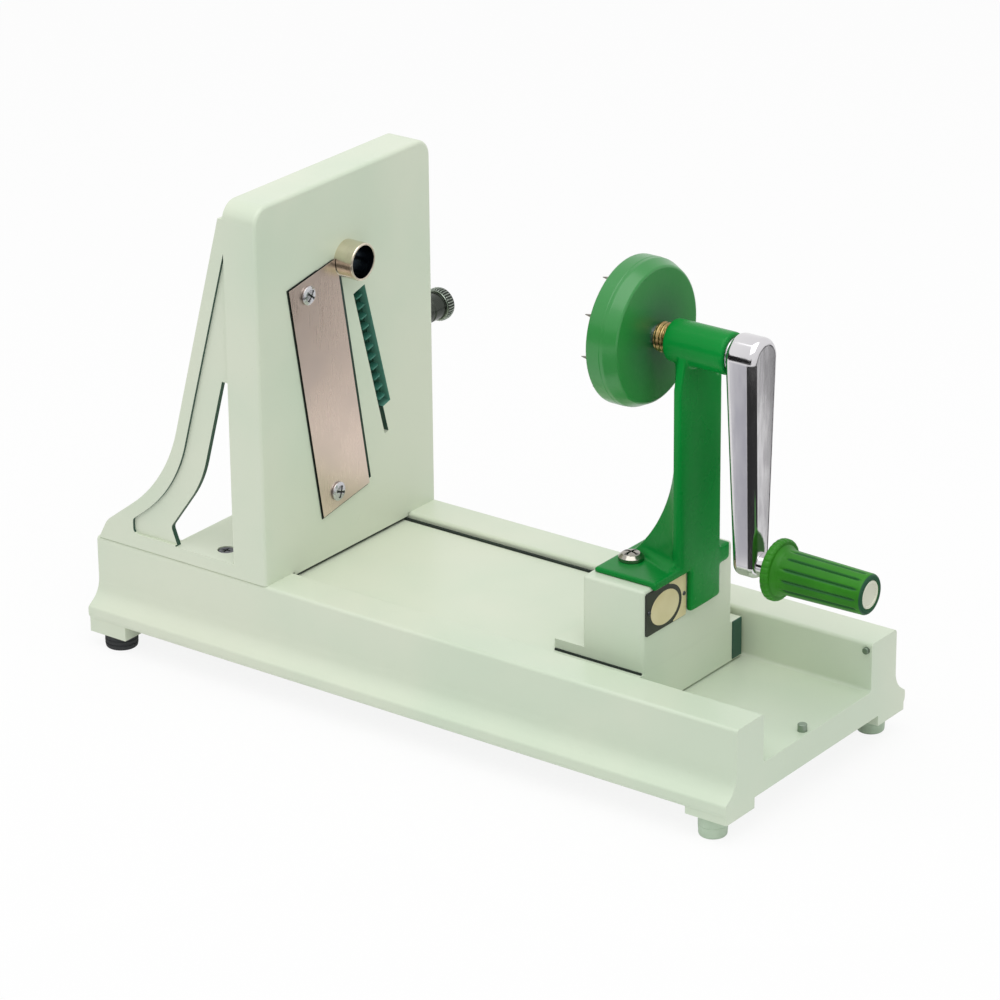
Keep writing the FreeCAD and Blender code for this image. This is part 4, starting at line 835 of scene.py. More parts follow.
def grip_mesh():
    profile = rounded([
        (0, GRIP_BORE),
        (0, GUARD_RADIUS, 1.5),
        (GUARD_THICK, GUARD_RADIUS, 1.5),
        (GUARD_THICK, GRIP_INNER + 1.5, 0.4),
        (TAPER_START, GRIP_INNER, 3),
        (GRIP_LENGTH, GRIP_OUTER, 1.4),
        (GRIP_LENGTH, CAP_RADIUS + 0.05),
        (GRIP_LENGTH - CAP_THICK, CAP_RADIUS + 0.05),
        (GRIP_LENGTH - CAP_THICK, NUT_RADIUS),
        (GRIP_LENGTH - NUT_FLOOR, NUT_RADIUS),
        (GRIP_LENGTH - NUT_FLOOR, GRIP_BORE),
    ])
    points = []
    for first, second in zip(profile, profile[1:] + profile[:1]):
        long_run = second.x - first.x > 5 and first.y > 8.5
        steps = TAPER_STEPS if long_run else 1
        points += [first.lerp(second, step / steps) for step in range(steps)]
    shape = bmesh.new()
    angles = [math.tau * i / GRIP_SIDES for i in range(GRIP_SIDES)]
    join_rings(shape, [[
        shape.verts.new(grip_start + turned(along, grip_radius(along, radius, angle), angle))
        for angle in angles] for along, radius in points], GRIP_SIDES)
    return finished_shape("handle_grip_moulded", shape, 50)


def along_grip(x, y, z):
    """How far along the grip a point is, and how far from its axis."""
    start = measured(grip_start)
    return x - start.x, math.hypot(y - start.y, z - start.z)


def in_groove(x, y, z, normal):
    along, radius = along_grip(x, y, z)
    taper = (GRIP_INNER - GRIP_OUTER) * (along - TAPER_START) / (GRIP_LENGTH - TAPER_START)
    return 9 < along < GRIP_LENGTH - 2 and 7.6 < radius < GRIP_INNER - taper - 0.18


def on_grip_end(x, y, z, normal):
    along, radius = along_grip(x, y, z)
    return along > GRIP_LENGTH - 0.5 and radius > CAP_RADIUS and normal.x > 0.5


grip = dress(grip_mesh(), grip_plastic, "handle_grip")
# Painted shade: the grooves and the grip's end face are darkened.
mark(grip, "seam", in_groove, value=0.5)
mark(grip, "seam", on_grip_end, value=0.85)
turned_piece("grip_cap_moulded", cap_plastic, "grip_cap", [
    (0, 0), (0, CAP_RADIUS), (CAP_THICK, CAP_RADIUS, 0.6), (CAP_THICK, CAP_RADIUS - 1.3, 0.2),
    (CAP_THICK - 0.5, CAP_RADIUS - 1.5, 0.2), (CAP_THICK - 0.4, 0),
], end_of("grip_cap"))
print("grip:", len(grip.data.polygons), "faces")

# %% [markdown]
# The arm is a tapered bar with full round ends and generous soft edges, and
# chrome shows every dent in a mesh. So it is lofted: each ring is the hull of
# two circles, one round each axis, and the rings step over the edge on a
# quarter circle.

# %% Crank arm
ARM_TOP_RADIUS = 10.5
ARM_FOOT_RADIUS = 6.8
ARM_INNER = (320.8, 323.6)
ARM_OUTER = (336.5, 336.0)
ARM_EDGE = 3.4
ARM_STEPS = 8
ARM_TOP_Z = AXIS_Z
ARM_FOOT_Z = grip_start.z / MM


def arm_outline(inset, count=28):
    """Half the arm's outline, from the top to the foot, as (y, z) in millimetres."""
    top = ARM_TOP_RADIUS - inset
    foot = ARM_FOOT_RADIUS - inset
    lean = math.asin((top - foot) / (ARM_TOP_Z - ARM_FOOT_Z))
    points = []
    for radius, height, first, last in ((top, ARM_TOP_Z, math.pi / 2, lean),
                                        (foot, ARM_FOOT_Z, lean, -math.pi / 2)):
        for i in range(count + 1):
            a = first + (last - first) * i / count
            points.append((radius * math.cos(a), height + radius * math.sin(a)))
    return points


def arm_face(z, top_x, foot_x):
    """The face is square to the axis at both ends and slopes between them."""
    high = ARM_TOP_Z - 1.1 * ARM_TOP_RADIUS
    low = ARM_FOOT_Z + 1.3 * ARM_FOOT_RADIUS
    share = max(0.0, min(1.0, (high - z) / (high - low)))
    share = share * share * (3 - 2 * share) * 0.15 + share * 0.85
    return top_x + (foot_x - top_x) * share


def arm_ring(side, face, step):
    """One ring of the loft, where the arm's edge has turned by so many steps."""
    a = math.pi / 2 * step / ARM_STEPS
    half = arm_outline(ARM_EDGE * (1 - math.sin(a)))
    depth = side * ARM_EDGE * (1 - math.cos(a))
    outline = half + [(-y, z) for y, z in reversed(half)][1:-1]
    return [(arm_face(z, *face) - depth, y, z) for y, z in outline]


def arm_mesh():
    steps = range(ARM_STEPS + 1)
    shape = bmesh.new()
    rings = skin_over(shape, [arm_ring(-1, ARM_INNER, step) for step in steps]
                      + [arm_ring(1, ARM_OUTER, step) for step in reversed(steps)],
                      capped=False)
    sides = len(rings[0])
    for ring in (rings[0], rings[-1]):
        for i in range(sides // 2):
            corners = ring[i], ring[i + 1], ring[-i - 1], ring[-i]
            shape.faces.new(dict.fromkeys(corners))
    return finished_shape("crank_arm_plated", shape, 40)


arm = dress(arm_mesh(), chrome, "crank_arm")
print("arm:", len(arm.data.polygons), "faces")

# %% [markdown]
# The bracket is one casting of a foot plate, an apron, a post, a web and the
# bearing tube, and thick enamel has filled every inner corner. Each part is a
# prism or a loft. A voxel remesh joins them into one skin, a few rounds of
# smoothing give it fillets inside and out at once, and the bore is cut last.

# %% Crank bracket
FOOT_LOW, FOOT_HIGH = 91, 93.5
FOOT_BACK, FOOT_NEAR, FOOT_FAR = 266.9, -31, 28
APRON_LOW, APRON_EDGE, APRON_NEAR = 69.9, 85.2, -3.4
APRON_BACK = 297.7
POST_BACK, POST_FRONT = 296.4, 300.2
POST_NEAR, POST_FAR = -12.4, 20.4
POST_TOP_HALF = 8.4
POST_CROWN = 0.8
POST_EDGE = 2.2
RIB_HALF = 5
RIB_BACK, RIB_FOOT = 292.1, 270.3
WEB_HALF = 12.2
WEB_FLARE = 6
BEARING = (288, 319.6, 9.8)
BEARING_BORE = 7
CROWN_STEPS = 12
VOXEL = 0.0006


def end_prism(shape, low, high, corners):
    """A plate that stands across the machine, drawn as (y, z)."""
    outline = rounded(corners)
    skin_over(shape, [[(x, y, z) for y, z in outline] for x in (low, high)])


def rounded_edges(shape, width, test):
    """Rounds the edges whose two ends pass a test of their place."""
    edges = [edge for edge in shape.edges
             if all(test(*measured(vert.co)) for vert in edge.verts)]
    bmesh.ops.bevel(shape, geom=edges, offset=width * MM, segments=4, profile=0.5,
                    affect="EDGES")


def crown(shape, near, stations):
    """The post's front, a little crowned; each station is (z, share of the crown)."""
    sides = [near + (POST_FAR - near) * i / CROWN_STEPS for i in range(CROWN_STEPS + 1)]
    middle, half = (POST_NEAR + POST_FAR) / 2, (POST_FAR - POST_NEAR) / 2
    rise = [POST_CROWN * max(0.0, 1 - ((y - middle) / half) ** 2) for y in sides]
    skin_over(shape, [
        [(POST_FRONT - 1, near, z), (POST_FRONT - 1, POST_FAR, z)]
        + [(POST_FRONT + up * share, y, z) for y, up in reversed(list(zip(sides, rise)))]
        for z, share in stations])


def web_half(z):
    """Half the web's width where it meets the post."""
    over_foot = z - FOOT_HIGH
    half = min(WEB_HALF, WEB_HALF - (z - 170) * 0.16)
    if over_foot < WEB_FLARE:
        half += WEB_FLARE - math.sqrt(WEB_FLARE ** 2 - (WEB_FLARE - max(0, over_foot)) ** 2)
    return half


def bracket_solids():
    shape = bmesh.new()
    foot = rounded([(FOOT_BACK, FOOT_NEAR, 0.4), (POST_FRONT, FOOT_NEAR, 0.8),
                    (POST_FRONT, FOOT_FAR, 1.5), (FOOT_BACK, FOOT_FAR, 3)])
    skin_over(shape, [[(x, y, z) for x, y in foot] for z in (FOOT_LOW, FOOT_HIGH)])
    end_prism(shape, APRON_BACK, POST_FRONT, [
        (FOOT_NEAR, 89.8), (APRON_NEAR, 89.8), (APRON_NEAR, APRON_LOW, 0.8),
        (POST_FAR, APRON_LOW, 2.2), (POST_FAR, APRON_EDGE), (FOOT_FAR, APRON_EDGE, 1.5),
        (FOOT_FAR, FOOT_HIGH), (FOOT_NEAR, FOOT_HIGH)])
    end_prism(shape, POST_BACK, POST_FRONT, [
        (POST_NEAR, FOOT_LOW), (POST_FAR, FOOT_LOW), (POST_FAR, 171.5, 20),
        (POST_TOP_HALF, AXIS_Z), (-POST_TOP_HALF, AXIS_Z), (POST_NEAR, 179.4, 12)])
    rounded_edges(shape, POST_EDGE, lambda x, y, z: (
        x > POST_FRONT - 0.01 and POST_NEAR - 0.1 < y < 0.1 - POST_TOP_HALF
        and z > FOOT_LOW - 0.1))
    crown(shape, POST_NEAR + POST_EDGE,
          [(FOOT_LOW, 1), (158, 1), (166, 0.7), (172, 0.3), (178, 0)])
    crown(shape, APRON_NEAR, [(APRON_LOW + 0.6, 1), (FOOT_LOW + 1, 1)])
    back = [point for point in rounded([
        (RIB_BACK, AXIS_Z), (RIB_BACK, FOOT_HIGH + 24, 75), (RIB_FOOT, FOOT_HIGH),
        (299, FOOT_HIGH)], 24) if point.x < 298]
    back.append(Vector((RIB_FOOT, FOOT_LOW + 0.5)))
    for tip, spread in ((RIB_HALF, 0), (RIB_HALF - 0.1, 1)):
        skin_over(shape, [
            [(POST_BACK + 2, side * (web_half(z) if spread else tip), z) for side in (-1, 1)]
            + [(x, side * tip, z) for side in (1, -1)] for x, z in back])
    low, high, radius = BEARING
    add_turned(shape, at(low, 0, AXIS_Z), X_AXIS, [
        (0, 0), (0, radius, 1), (high - low, radius, 1), (high - low, 0)], SIDES)
    return plain_shape("crank_bracket_cast", shape)


def bore_cutter():
    """A bar that goes right through the bearing."""
    low, high, _ = BEARING
    length = high - low + 10
    profile = [(0, 0), (0, BEARING_BORE), (length, BEARING_BORE), (length, 0)]
    return plain_shape("bearing_bore", turned_shape(profile, at(low - 5, 0, AXIS_Z)))


bracket = bracket_solids()
skin = bracket.modifiers.new("one_skin", "REMESH")
skin.mode = "VOXEL"
skin.voxel_size = VOXEL
soft = bracket.modifiers.new("fillets", "SMOOTH")
soft.factor = 0.5
soft.iterations = 10
bracket = cut_out(baked(bracket), bore_cutter())
smooth(bracket, 50)
dress(bracket, green_enamel, "crank_bracket")
print("bracket:", len(bracket.data.polygons), "faces")

# %% [markdown]
# The knife and the comb holder are plain plates with crisp but not sharp
# edges, and so are the small turned pieces, whose edges the lathe broke. The
# knife lies 1 mm deep, over a dark plate a little wider than it that paints a
# shadow line round it, and its edges are painted dark as shade. The comb
# holder's face lies back in its slot.

# %% Plates and small pieces
KNIFE_SUNK = 1.0
KNIFE_SHADE_LINE = ((-18.3, -121.8), (17, -121.8), (17, -20), (4, 0.4), (-18.3, 0.4))
SHADE_LINE_DEPTHS = (103.8, 104.3)
HOLDER_SUNK = 1.7
HOLDER_SKIN = 0.6
for node, finish, width in (
        ("main_blade", knife_steel, 0.14), ("comb_holder", mint_comb, 0.35),
        ("side_glides", nylon, 0.3), ("sled_runners", nylon, 0.25),
        ("thrust_washer", zinc, 0.12), ("axle_spacer", chrome, 0.3),
        ("bearing_bushes", brass, 0.2), ("stop_pin", dull_zinc, 0.15),
        ("rail_peg", dull_zinc, 0.15)):
    softened(node, finish, width, segments=2)
for node, finish in (("crank_shaft", zinc), ("grip_axle", zinc), ("clamp_screw", zinc),
                     ("set_screw", dark_steel), ("disk_screw", zinc)):
    packed = frame["nodes"][node]
    if not packed.material_slots:
        packed.data.materials.append(finish)
    for entry in packed.material_slots:
        entry.material = finish


def sink(piece, depth, skin=math.inf):
    """Moves a piece's front towards the blade end, as deep as its skin goes."""
    face = max(vert.co.x for vert in piece.data.vertices)
    for vert in piece.data.vertices:
        if vert.co.x > face - skin * MM:
            vert.co.x -= depth * MM


knife = bpy.data.objects["main_blade_soft"]
sink(knife, KNIFE_SUNK)
sink(bpy.data.objects["comb_holder_soft"], HOLDER_SUNK, HOLDER_SKIN)
# Painted shade: the knife's edge faces are darkened.
mark(knife, "grime", lambda x, y, z, normal: abs(normal.x) < 0.5)
# Painted shadow: a dark plate a little wider than the knife shows as a line round it.
shade_line = skinned_piece("knife_bed", [
    [(x, *leaning(u, v, *KNIFE_FRAME)) for u, v in KNIFE_SHADE_LINE] for x in SHADE_LINE_DEPTHS])
dress(shade_line, felt, "blade_stand", stands_in=False)
print("small pieces done")

# %% [markdown]
# What repeats is laid out by Geometry Nodes. `Layout` builds a node tree with
# the same `add` and the same sums as a finish. The host's own points are the
# places, so one tree serves screws, rivets and teeth: a copy of the pattern
# piece is put on each point, laid along an axis and turned by chance, as far
# as its spin allows.

# %% Layouts
class Layout:
    """A geometry node tree with named inputs, which lays copies of a pattern piece out."""

    add = Finish.add
    feed = Finish.feed

    def __init__(self, name, **inputs):
        self.tree = bpy.data.node_groups.new(name, "GeometryNodeTree")
        self.ports = {}
        inputs = {"Geometry": "Geometry", "Pattern": "Object", "Lay": "Rotation",
                  "Finish": "Material"} | inputs
        for word, kind in inputs.items():
            self.ports[word] = self.tree.interface.new_socket(
                word, in_out="INPUT", socket_type="NodeSocket" + kind)
        self.tree.interface.new_socket(
            "Geometry", in_out="OUTPUT", socket_type="NodeSocketGeometry")
        self.source = self.tree.nodes.new("NodeGroupInput")
        self.sink = self.tree.nodes.new("NodeGroupOutput")

    def given(self, word):
        return Tap(self, self.source.outputs[word])

    def turned_by(self, angle):
        """A turn about X by an angle."""
        return self.add("FunctionNodeEulerToRotation", values={
            0: self.add("ShaderNodeCombineXYZ", values={"X": angle})})

    def copies(self, points, turn):
        """The pattern piece on every point, turned."""
        pattern = self.add("GeometryNodeObjectInfo", values={"Object": self.given("Pattern")},
                           out="Geometry")
        return self.add("GeometryNodeInstanceOnPoints", values={
            "Points": points, "Instance": pattern, "Rotation": turn})

    def finish(self, geometry):
        """Ends the tree with real geometry and its material."""
        real = self.add("GeometryNodeRealizeInstances", values={0: geometry})
        done = self.add("GeometryNodeSetMaterial", values={
            "Geometry": real, "Material": self.given("Finish")})
        self.tree.links.new(done.socket, self.sink.inputs[0])
        return self

    def laid(self, name, places, pattern, finish, node, stands_in=True, **values):
        """Runs the tree on places and returns one plain piece, dressed for a node."""
        host = bpy.data.meshes.new(name + "_places")
        host.from_pydata([tuple(place) for place in places], [], [])
        piece = mesh_object(name, host)
        modifier = piece.modifiers.new("layout", "NODES")
        modifier.node_group = self.tree
        for word, value in (values | {"Pattern": pattern, "Finish": finish}).items():
            modifier[self.ports[word].identifier] = value
        piece = baked(piece)
        bpy.data.objects.remove(pattern)
        smooth(piece)
        return dress(piece, finish, node, stands_in)


def pieces_on_points():
    """A pattern piece on every point, turned by chance about its own axis."""
    layout = Layout("pieces_on_points", Spin="Float", Seed="Int")
    spin = layout.add("FunctionNodeRandomValue", {"data_type": "FLOAT"}, {
        "Min": 0.0, "Max": layout.given("Spin"), "Seed": layout.given("Seed")}, "Value")
    lay = layout.add("FunctionNodeRotateRotation", {"rotation_space": "LOCAL"},
                     {0: layout.given("Lay"), 1: layout.turned_by(spin)})
    return layout.finish(layout.copies(layout.given("Geometry"), lay))


on_points = pieces_on_points()
print("layout inputs:", list(on_points.ports))

# %% [markdown]
# Round things with teeth or spikes are laid out on a circle about the X or Y
# axis. The tree makes the points itself from their count and the circle.

# %% Rings of pieces
ALONG_X = (0, 0, 0)
ALONG_Y = (0, 0, math.pi / 2)
ALONG_Z = (0, -math.pi / 2, 0)
DOWNWARDS = (0, math.pi / 2, 0)
SPIKES = 10
SPIKE_CIRCLE = 30.6
SPIKE_LENGTH = 4.6
SPIKE_START = math.radians(9)


def pieces_on_ring():
    """A pattern piece, drawn standing at angle 0, repeated round the X axis."""
    layout = Layout("pieces_on_ring", Count="Int", Start="Float", Place="Vector")
    step = layout.add("ShaderNodeMath", {"operation": "DIVIDE"},
                      {0: math.tau, 1: layout.given("Count")})
    angle = layout.add("GeometryNodeInputIndex") * step + layout.given("Start")
    points = layout.add("GeometryNodePoints", values={"Count": layout.given("Count")})
    return layout.finish(layout.add("GeometryNodeTransform", values={
        "Geometry": layout.copies(points, layout.turned_by(angle)),
        "Translation": layout.given("Place"), "Rotation": layout.given("Lay")}))


on_ring = pieces_on_ring()
spike = finished_shape("spike_pattern", turned_shape([
    (3, 0), (3, 1), (-0.4, 1, 0.2), (-SPIKE_LENGTH + 0.3, 0.22, 0.15), (-SPIKE_LENGTH, 0)],
    own(0, SPIKE_CIRCLE, 0), sides=16))
spikes = on_ring.laid("disk_spikes_turned", [], spike, screw_steel, "disk_spikes",
                      Count=SPIKES, Start=SPIKE_START, Lay=ALONG_X, Place=disk_place)
print("spikes:", len(spikes.data.polygons), "faces")

# %% [markdown]
# The clamp knob has a smooth neck and a knurled rim. The knurl is a ring of
# small ridges with crowned tops, laid round a core of the rim's own profile.

# %% Clamp knob
KNOB_NECK = 13
KNOB_RIM = 5.6
KNOB_END = KNOB_NECK + KNOB_RIM
KNOB_RADIUS = 8.2
KNOB_NECK_RADIUS = 6.6
KNOB_BORE = 3.02
RIDGES = 36
RIDGE_HALF = 0.42
knob_place = end_of("clamp_knob", 1)
ridge_rings = []
for inside, drop in ((0.5, 0.7), (1.1, 0.12), (1.6, 0), (KNOB_RIM - 1.6, 0),
                     (KNOB_RIM - 1.1, 0.12), (KNOB_RIM - 0.5, 0.7)):
    top = KNOB_RADIUS - drop
    ridge_rings.append([(KNOB_NECK + inside, y, z * RIDGE_HALF) for y, z in (
        (KNOB_RADIUS - 0.9, -1), (top - 0.1, -0.5), (top, 0), (top - 0.1, 0.5),
        (KNOB_RADIUS - 0.9, 1))])
ridge = skinned_piece("ridge_pattern", ridge_rings, own)
ridges = on_ring.laid("knob_ridges", [], ridge, knob_metal, "clamp_knob", stands_in=False,
                      Count=RIDGES, Start=0.0, Lay=ALONG_Y, Place=knob_place)
knob = turned_piece("clamp_knob_turned", knob_metal, "clamp_knob", [
    (KNOB_NECK - 0.9, 0),
    (KNOB_NECK - 0.9, KNOB_BORE),
    (0, KNOB_BORE),
    (0, KNOB_NECK_RADIUS, 0.8),
    (4.0, KNOB_NECK_RADIUS, 0.2),
    (4.4, KNOB_NECK_RADIUS - 0.4, 0.2),
    (5.2, KNOB_NECK_RADIUS - 0.4, 0.2),
    (5.6, KNOB_NECK_RADIUS, 0.2),
    (KNOB_NECK, KNOB_NECK_RADIUS, 0.3),
    (KNOB_NECK, KNOB_RADIUS - 0.75, 0.3),
    (KNOB_NECK + 0.4, KNOB_RADIUS - 0.45, 0.2),
    (KNOB_END - 0.4, KNOB_RADIUS - 0.45, 0.2),
    (KNOB_END, KNOB_RADIUS - 1.1, 0.4),
    (KNOB_END, 3.4, 0.3),
    (KNOB_END - 0.5, 3.0, 0.2),
    (KNOB_END - 0.5, 0),
], knob_place, axis=Y_AXIS)
rim_start = measured(knob_place).y + KNOB_NECK
# Painted shade: the neck is darker, and the rim's core is dark between the ridges.
mark(knob, "grime", lambda x, y, z, normal: y < rim_start, value=0.8)
mark(knob, "grime", lambda x, y, z, normal: y > rim_start and abs(normal.y) < 0.5, value=0.9)
print("knob ridges:", len(ridges.data.polygons), "faces")

# %% [markdown]
# The brass collar carries a coarse thread, seen as two or three bright turns
# beside the bearing. Plain rings would look stacked, so the thread is swept as
# one helix with a rounded crest, whose ends sink back into the collar.

# %% Brass collar
COLLAR_RADIUS = 7
COLLAR_BORE = 4.92
COLLAR_SIDES = 96
COLLAR_STATIONS = 40
THREAD_DEPTH = 0.75
THREAD_TURNS = 2.5
THREAD_MARGIN = 0.9
collar_length = size_of("shaft_collar").x


def thread_radius(along, angle):
    """The radius rises along a helix, between two plain ends."""
    share = (along - THREAD_MARGIN) / (collar_length - 2 * THREAD_MARGIN)
    crest = 0.5 + 0.5 * math.cos(math.tau * share * THREAD_TURNS - angle)
    edge = max(0.0, min(1.0, min(along, collar_length - along) / 0.8))
    return COLLAR_RADIUS - THREAD_DEPTH * (1 - crest ** 0.6 * edge)


def collar_mesh():
    shape = bmesh.new()
    place = end_of("shaft_collar")
    stations = [collar_length * k / COLLAR_STATIONS for k in range(COLLAR_STATIONS + 1)]
    angles = [math.tau * i / COLLAR_SIDES for i in range(COLLAR_SIDES)]
    rings = [[turned(along, thread_radius(along, a), a) for a in angles] for along in stations]
    rings += [[turned(along, COLLAR_BORE, a) for a in angles] for along in (collar_length, 0)]
    join_rings(shape, [[shape.verts.new(place + spot) for spot in ring] for ring in rings],
               COLLAR_SIDES)
    return finished_shape("shaft_collar_threaded", shape, 40)


dress(collar_mesh(), brass, "shaft_collar")
print("collar, mm:", round(collar_length, 1))

# %% [markdown]
# The screws have domed heads with a cross recess. One head is turned, the
# recess is cut by a tapered cross, and the layout tree sets a copy on each
# screw's place, each turned by chance as real screws are.

# %% Cross recess screws
KNIFE_SCREW = (4.6, 2.1, 1.9, 7)
BRACKET_SCREW = (5.9, 3.8, 2.5, 7)
STAND_SCREW = (4, 2.3, 2, 8.7, False)
FOOT_SCREW = (4.2, 2.4, 2.5, 8.5, False)
BLOCK_SCREW = (4.2, 2.4, 2.5, 14, False)
KNIFE_LENGTH = 121
KNIFE_WIDTH = 35.5
BRACKET_TOP = 93.5
STAND_SEAT = 57.9
SLED_ROOF = 45.5


def cross_cutter(reach, width, depth, top):
    """A tapered cross that points down its own -X, for cutting a recess."""
    shape = bmesh.new()
    for turn in (0, math.pi / 2):
        skin_over(shape, [
            [Matrix.Rotation(turn, 3, "X") @ own(x, y * r, z * width / 2)
             for y, z in ((-1, -1), (1, -1), (1, 1), (-1, 1))]
            for x, r in ((top, reach), (top - depth, reach * 0.45))], lambda *spot: spot)
    return plain_shape("cross_cutter", shape)


def screw_pattern(radius, height, shank_radius, shank, domed=True):
    """A screw along X with its seat at 0, the head towards +X."""
    head = [(0, radius), (height - 0.35, radius, 0.3), (height, radius - 0.35, 0.2)]
    if domed:
        head = [(0, radius, 0.25), (height * 0.45, radius, 0.3),
                (height * 0.85, radius * 0.72, 1.2), (height, radius * 0.3, 1.0)]
    shape = turned_shape([(-shank, 0), (-shank, shank_radius), (0, shank_radius), *head,
                          (height, 0)], Vector(), sides=48)
    cross = cross_cutter(radius * 0.58, radius * 0.2, height * 0.8, height + 0.2)
    pattern = cut_out(finished_shape("screw_pattern", shape, 40), cross, crossed=True)
    smooth(pattern, 34)
    # Painted shade with some grime: dark in the cross recess and round the seat.
    grime = pattern.data.attributes.new("grime", "FLOAT", "FACE")
    for face in pattern.data.polygons:
        along, across = face.center.x / MM, face.center.yz.length / MM
        in_recess = across < radius * 0.6 and along < height * (0.93 if domed else 0.97)
        at_seat = along < height * 0.16
        grime.data[face.index].value = 0.9 if in_recess else 0.75 if at_seat else 0.0
    return pattern


def screw_set(node, finish, screw, places, lay, seed):
    on_points.laid(node + "_set", places, screw_pattern(*screw), finish, node,
                   Lay=lay, Spin=math.tau, Seed=seed)


def four(xs, side, height, middle=0):
    """A place at each x on both sides of the machine."""
    return [at(x, middle + sign * side, height) for sign in (-1, 1) for x in xs]


knife_face = size_of("main_blade").x + measured(end_of("main_blade")).x - KNIFE_SUNK
screw_set("blade_screws", zinc, KNIFE_SCREW, [
    at(knife_face, *leaning(12.4 - KNIFE_WIDTH / 2, v, *KNIFE_FRAME))
    for v in (-8, 8 - KNIFE_LENGTH)], ALONG_X, 3)
screw_set("bracket_screws", screw_steel, BRACKET_SCREW,
          four([275.5], 14.5, BRACKET_TOP), ALONG_Z, 8)
screw_set("stand_screws", dark_steel, STAND_SCREW,
          four([71, 91.5], 53.5, STAND_SEAT), ALONG_Z, 5)
screw_set("foot_screws", zinc, FOOT_SCREW,
          four([RUBBER_X, PEG_X], FOOT_SIDE, HEAD_SEAT), DOWNWARDS, 2)
screw_set("block_screws", zinc, BLOCK_SCREW,
          four([272.2, 288.2], 28, SLED_ROOF, -1.5), DOWNWARDS, 4)
print("screws done")

# %% [markdown]
# The comb's teeth are punched from sheet, so each is a thin plate with a small
# radius on its outer edge. They stand in a row that leans with the slot.

# %% Comb teeth
TOOTH_HALF = 2.5
TOOTH_THICK = 0.8
TOOTH_REACH = 4.1
TOOTH_ROOT = -HOLDER_SUNK - 0.3
TEETH = 11
PITCH = 66 / (TEETH + 0.5)
outline = rounded([(TOOTH_ROOT, -TOOTH_HALF), (TOOTH_REACH, -TOOTH_HALF, 0.9),
                   (TOOTH_REACH, TOOTH_HALF, 0.9), (TOOTH_ROOT, TOOTH_HALF)], 4)
tooth = skinned_piece("tooth_pattern", [
    [(x, y, side * TOOTH_THICK / 2) for x, y in outline] for side in (-1, 1)], own, 30)
tooth_back = measured(end_of("comb_teeth")).x
on_points.laid("comb_teeth_row", [
    at(tooth_back, *leaning(0, (order - (TEETH - 1) / 2) * PITCH, *COMB_FRAME))
    for order in range(TEETH)], tooth, comb_coat, "comb_teeth",
    Lay=(math.radians(COMB_FRAME[2]), 0, 0), Spin=0.0, Seed=0)
print("teeth:", TEETH)

# %% [markdown]
# The block carries a small enamelled plate. It stays blank: a dark plate with
# a cream oval, a cream far end that is cut round the oval's dark border, and
# two rivets. Each colour of enamel stands a little higher than the one below,
# as fired enamel does.

# %% Badge
BADGE_X = 297.7
BADGE_THICK = 0.8
BADGE_LOW = (-35.5, 68.5)
BADGE_HIGH = (-4.0, 89.2)
OVAL_MIDDLE = (-20.9, 78.3)
OVAL_REACH = (11.0, 8.0)
BORDER_REACH = (13.2, 10.3)
RIM = 0.2
RIVET_SIDES = (-33.2, -6.0)
RIVET_HEIGHT = 79.6


def plate_outline(inset):
    """The whole plate, that far inside its edge, as (y, z)."""
    (y0, z0), (y1, z1) = BADGE_LOW, BADGE_HIGH
    corners = [(y0, z0, 1, 1), (y1, z0, -1, 1), (y1, z1, -1, -1), (y0, z1, 1, -1)]
    return rounded([(y + a * inset, z + b * inset, 1.2) for y, z, a, b in corners])


def oval(inset, reach=OVAL_REACH, first=0, last=360):
    """Points on an oval between two angles in degrees."""
    return [Vector((OVAL_MIDDLE[0] + (reach[0] - inset) * math.cos(turn),
                    OVAL_MIDDLE[1] + (reach[1] - inset) * math.sin(turn)))
            for turn in map(math.radians, range(first, last, 5))]


def far_end(inset):
    """The cream end: the plate's far corners, hollowed by the border's curve."""
    low, high = BADGE_LOW[1] + RIM + inset, BADGE_HIGH[1] - RIM - inset
    far = BADGE_HIGH[0] - RIM - inset
    curve = oval(-inset, BORDER_REACH, -60, 80)
    corners = rounded([(curve[0].x, low), (far, low, 0.8), (far, high, 0.8),
                       (curve[-1].x, high)])
    return corners + curve[::-1]


def enamel_layer(name, finish, outline, low, high, stands_in=False):
    """A thin layer with a soft edge, between two depths on the block's end."""
    piece = skinned_piece(name, [
        [(BADGE_X + x, y, z) for y, z in outline(inset)] for x, inset in (
            (low, 0), (high - 0.06, 0), (high - 0.02, 0.06), (high, 0.2))], degrees=60)
    dress(piece, finish, "badge_plate", stands_in)


enamel_layer("badge_plate_dark", badge_line, plate_outline, 0, BADGE_THICK - 0.16, True)
enamel_layer("badge_end_cream", badge_cream, far_end, BADGE_THICK - 0.3, BADGE_THICK - 0.08)
enamel_layer("badge_oval_cream", badge_cream, oval, BADGE_THICK - 0.3, BADGE_THICK)
rivet = turned_shape([(-3.7, 0), (-3.7, 0.9), (-0.2, 0.9), (-0.2, 1.1), (0.35, 0.95, 0.4),
                      (0.55, 0)], Vector(), sides=24)
on_points.laid("badge_rivets_pair", [
    at(BADGE_X + BADGE_THICK, y, RIVET_HEIGHT) for y in RIVET_SIDES],
    finished_shape("rivet_pattern", rivet, 50), dark_steel, "badge_rivets",
    Lay=ALONG_X, Spin=0.0, Seed=0)
print("badge is blank")

# %% [markdown]
# The floor is white, as the photograph's ground is. It is lit like anything
# else, so it takes the machine's shadow, and for the camera and for mirror
# rays it glows a little, which lifts it to white without more light on the
# machine. The world does the same.

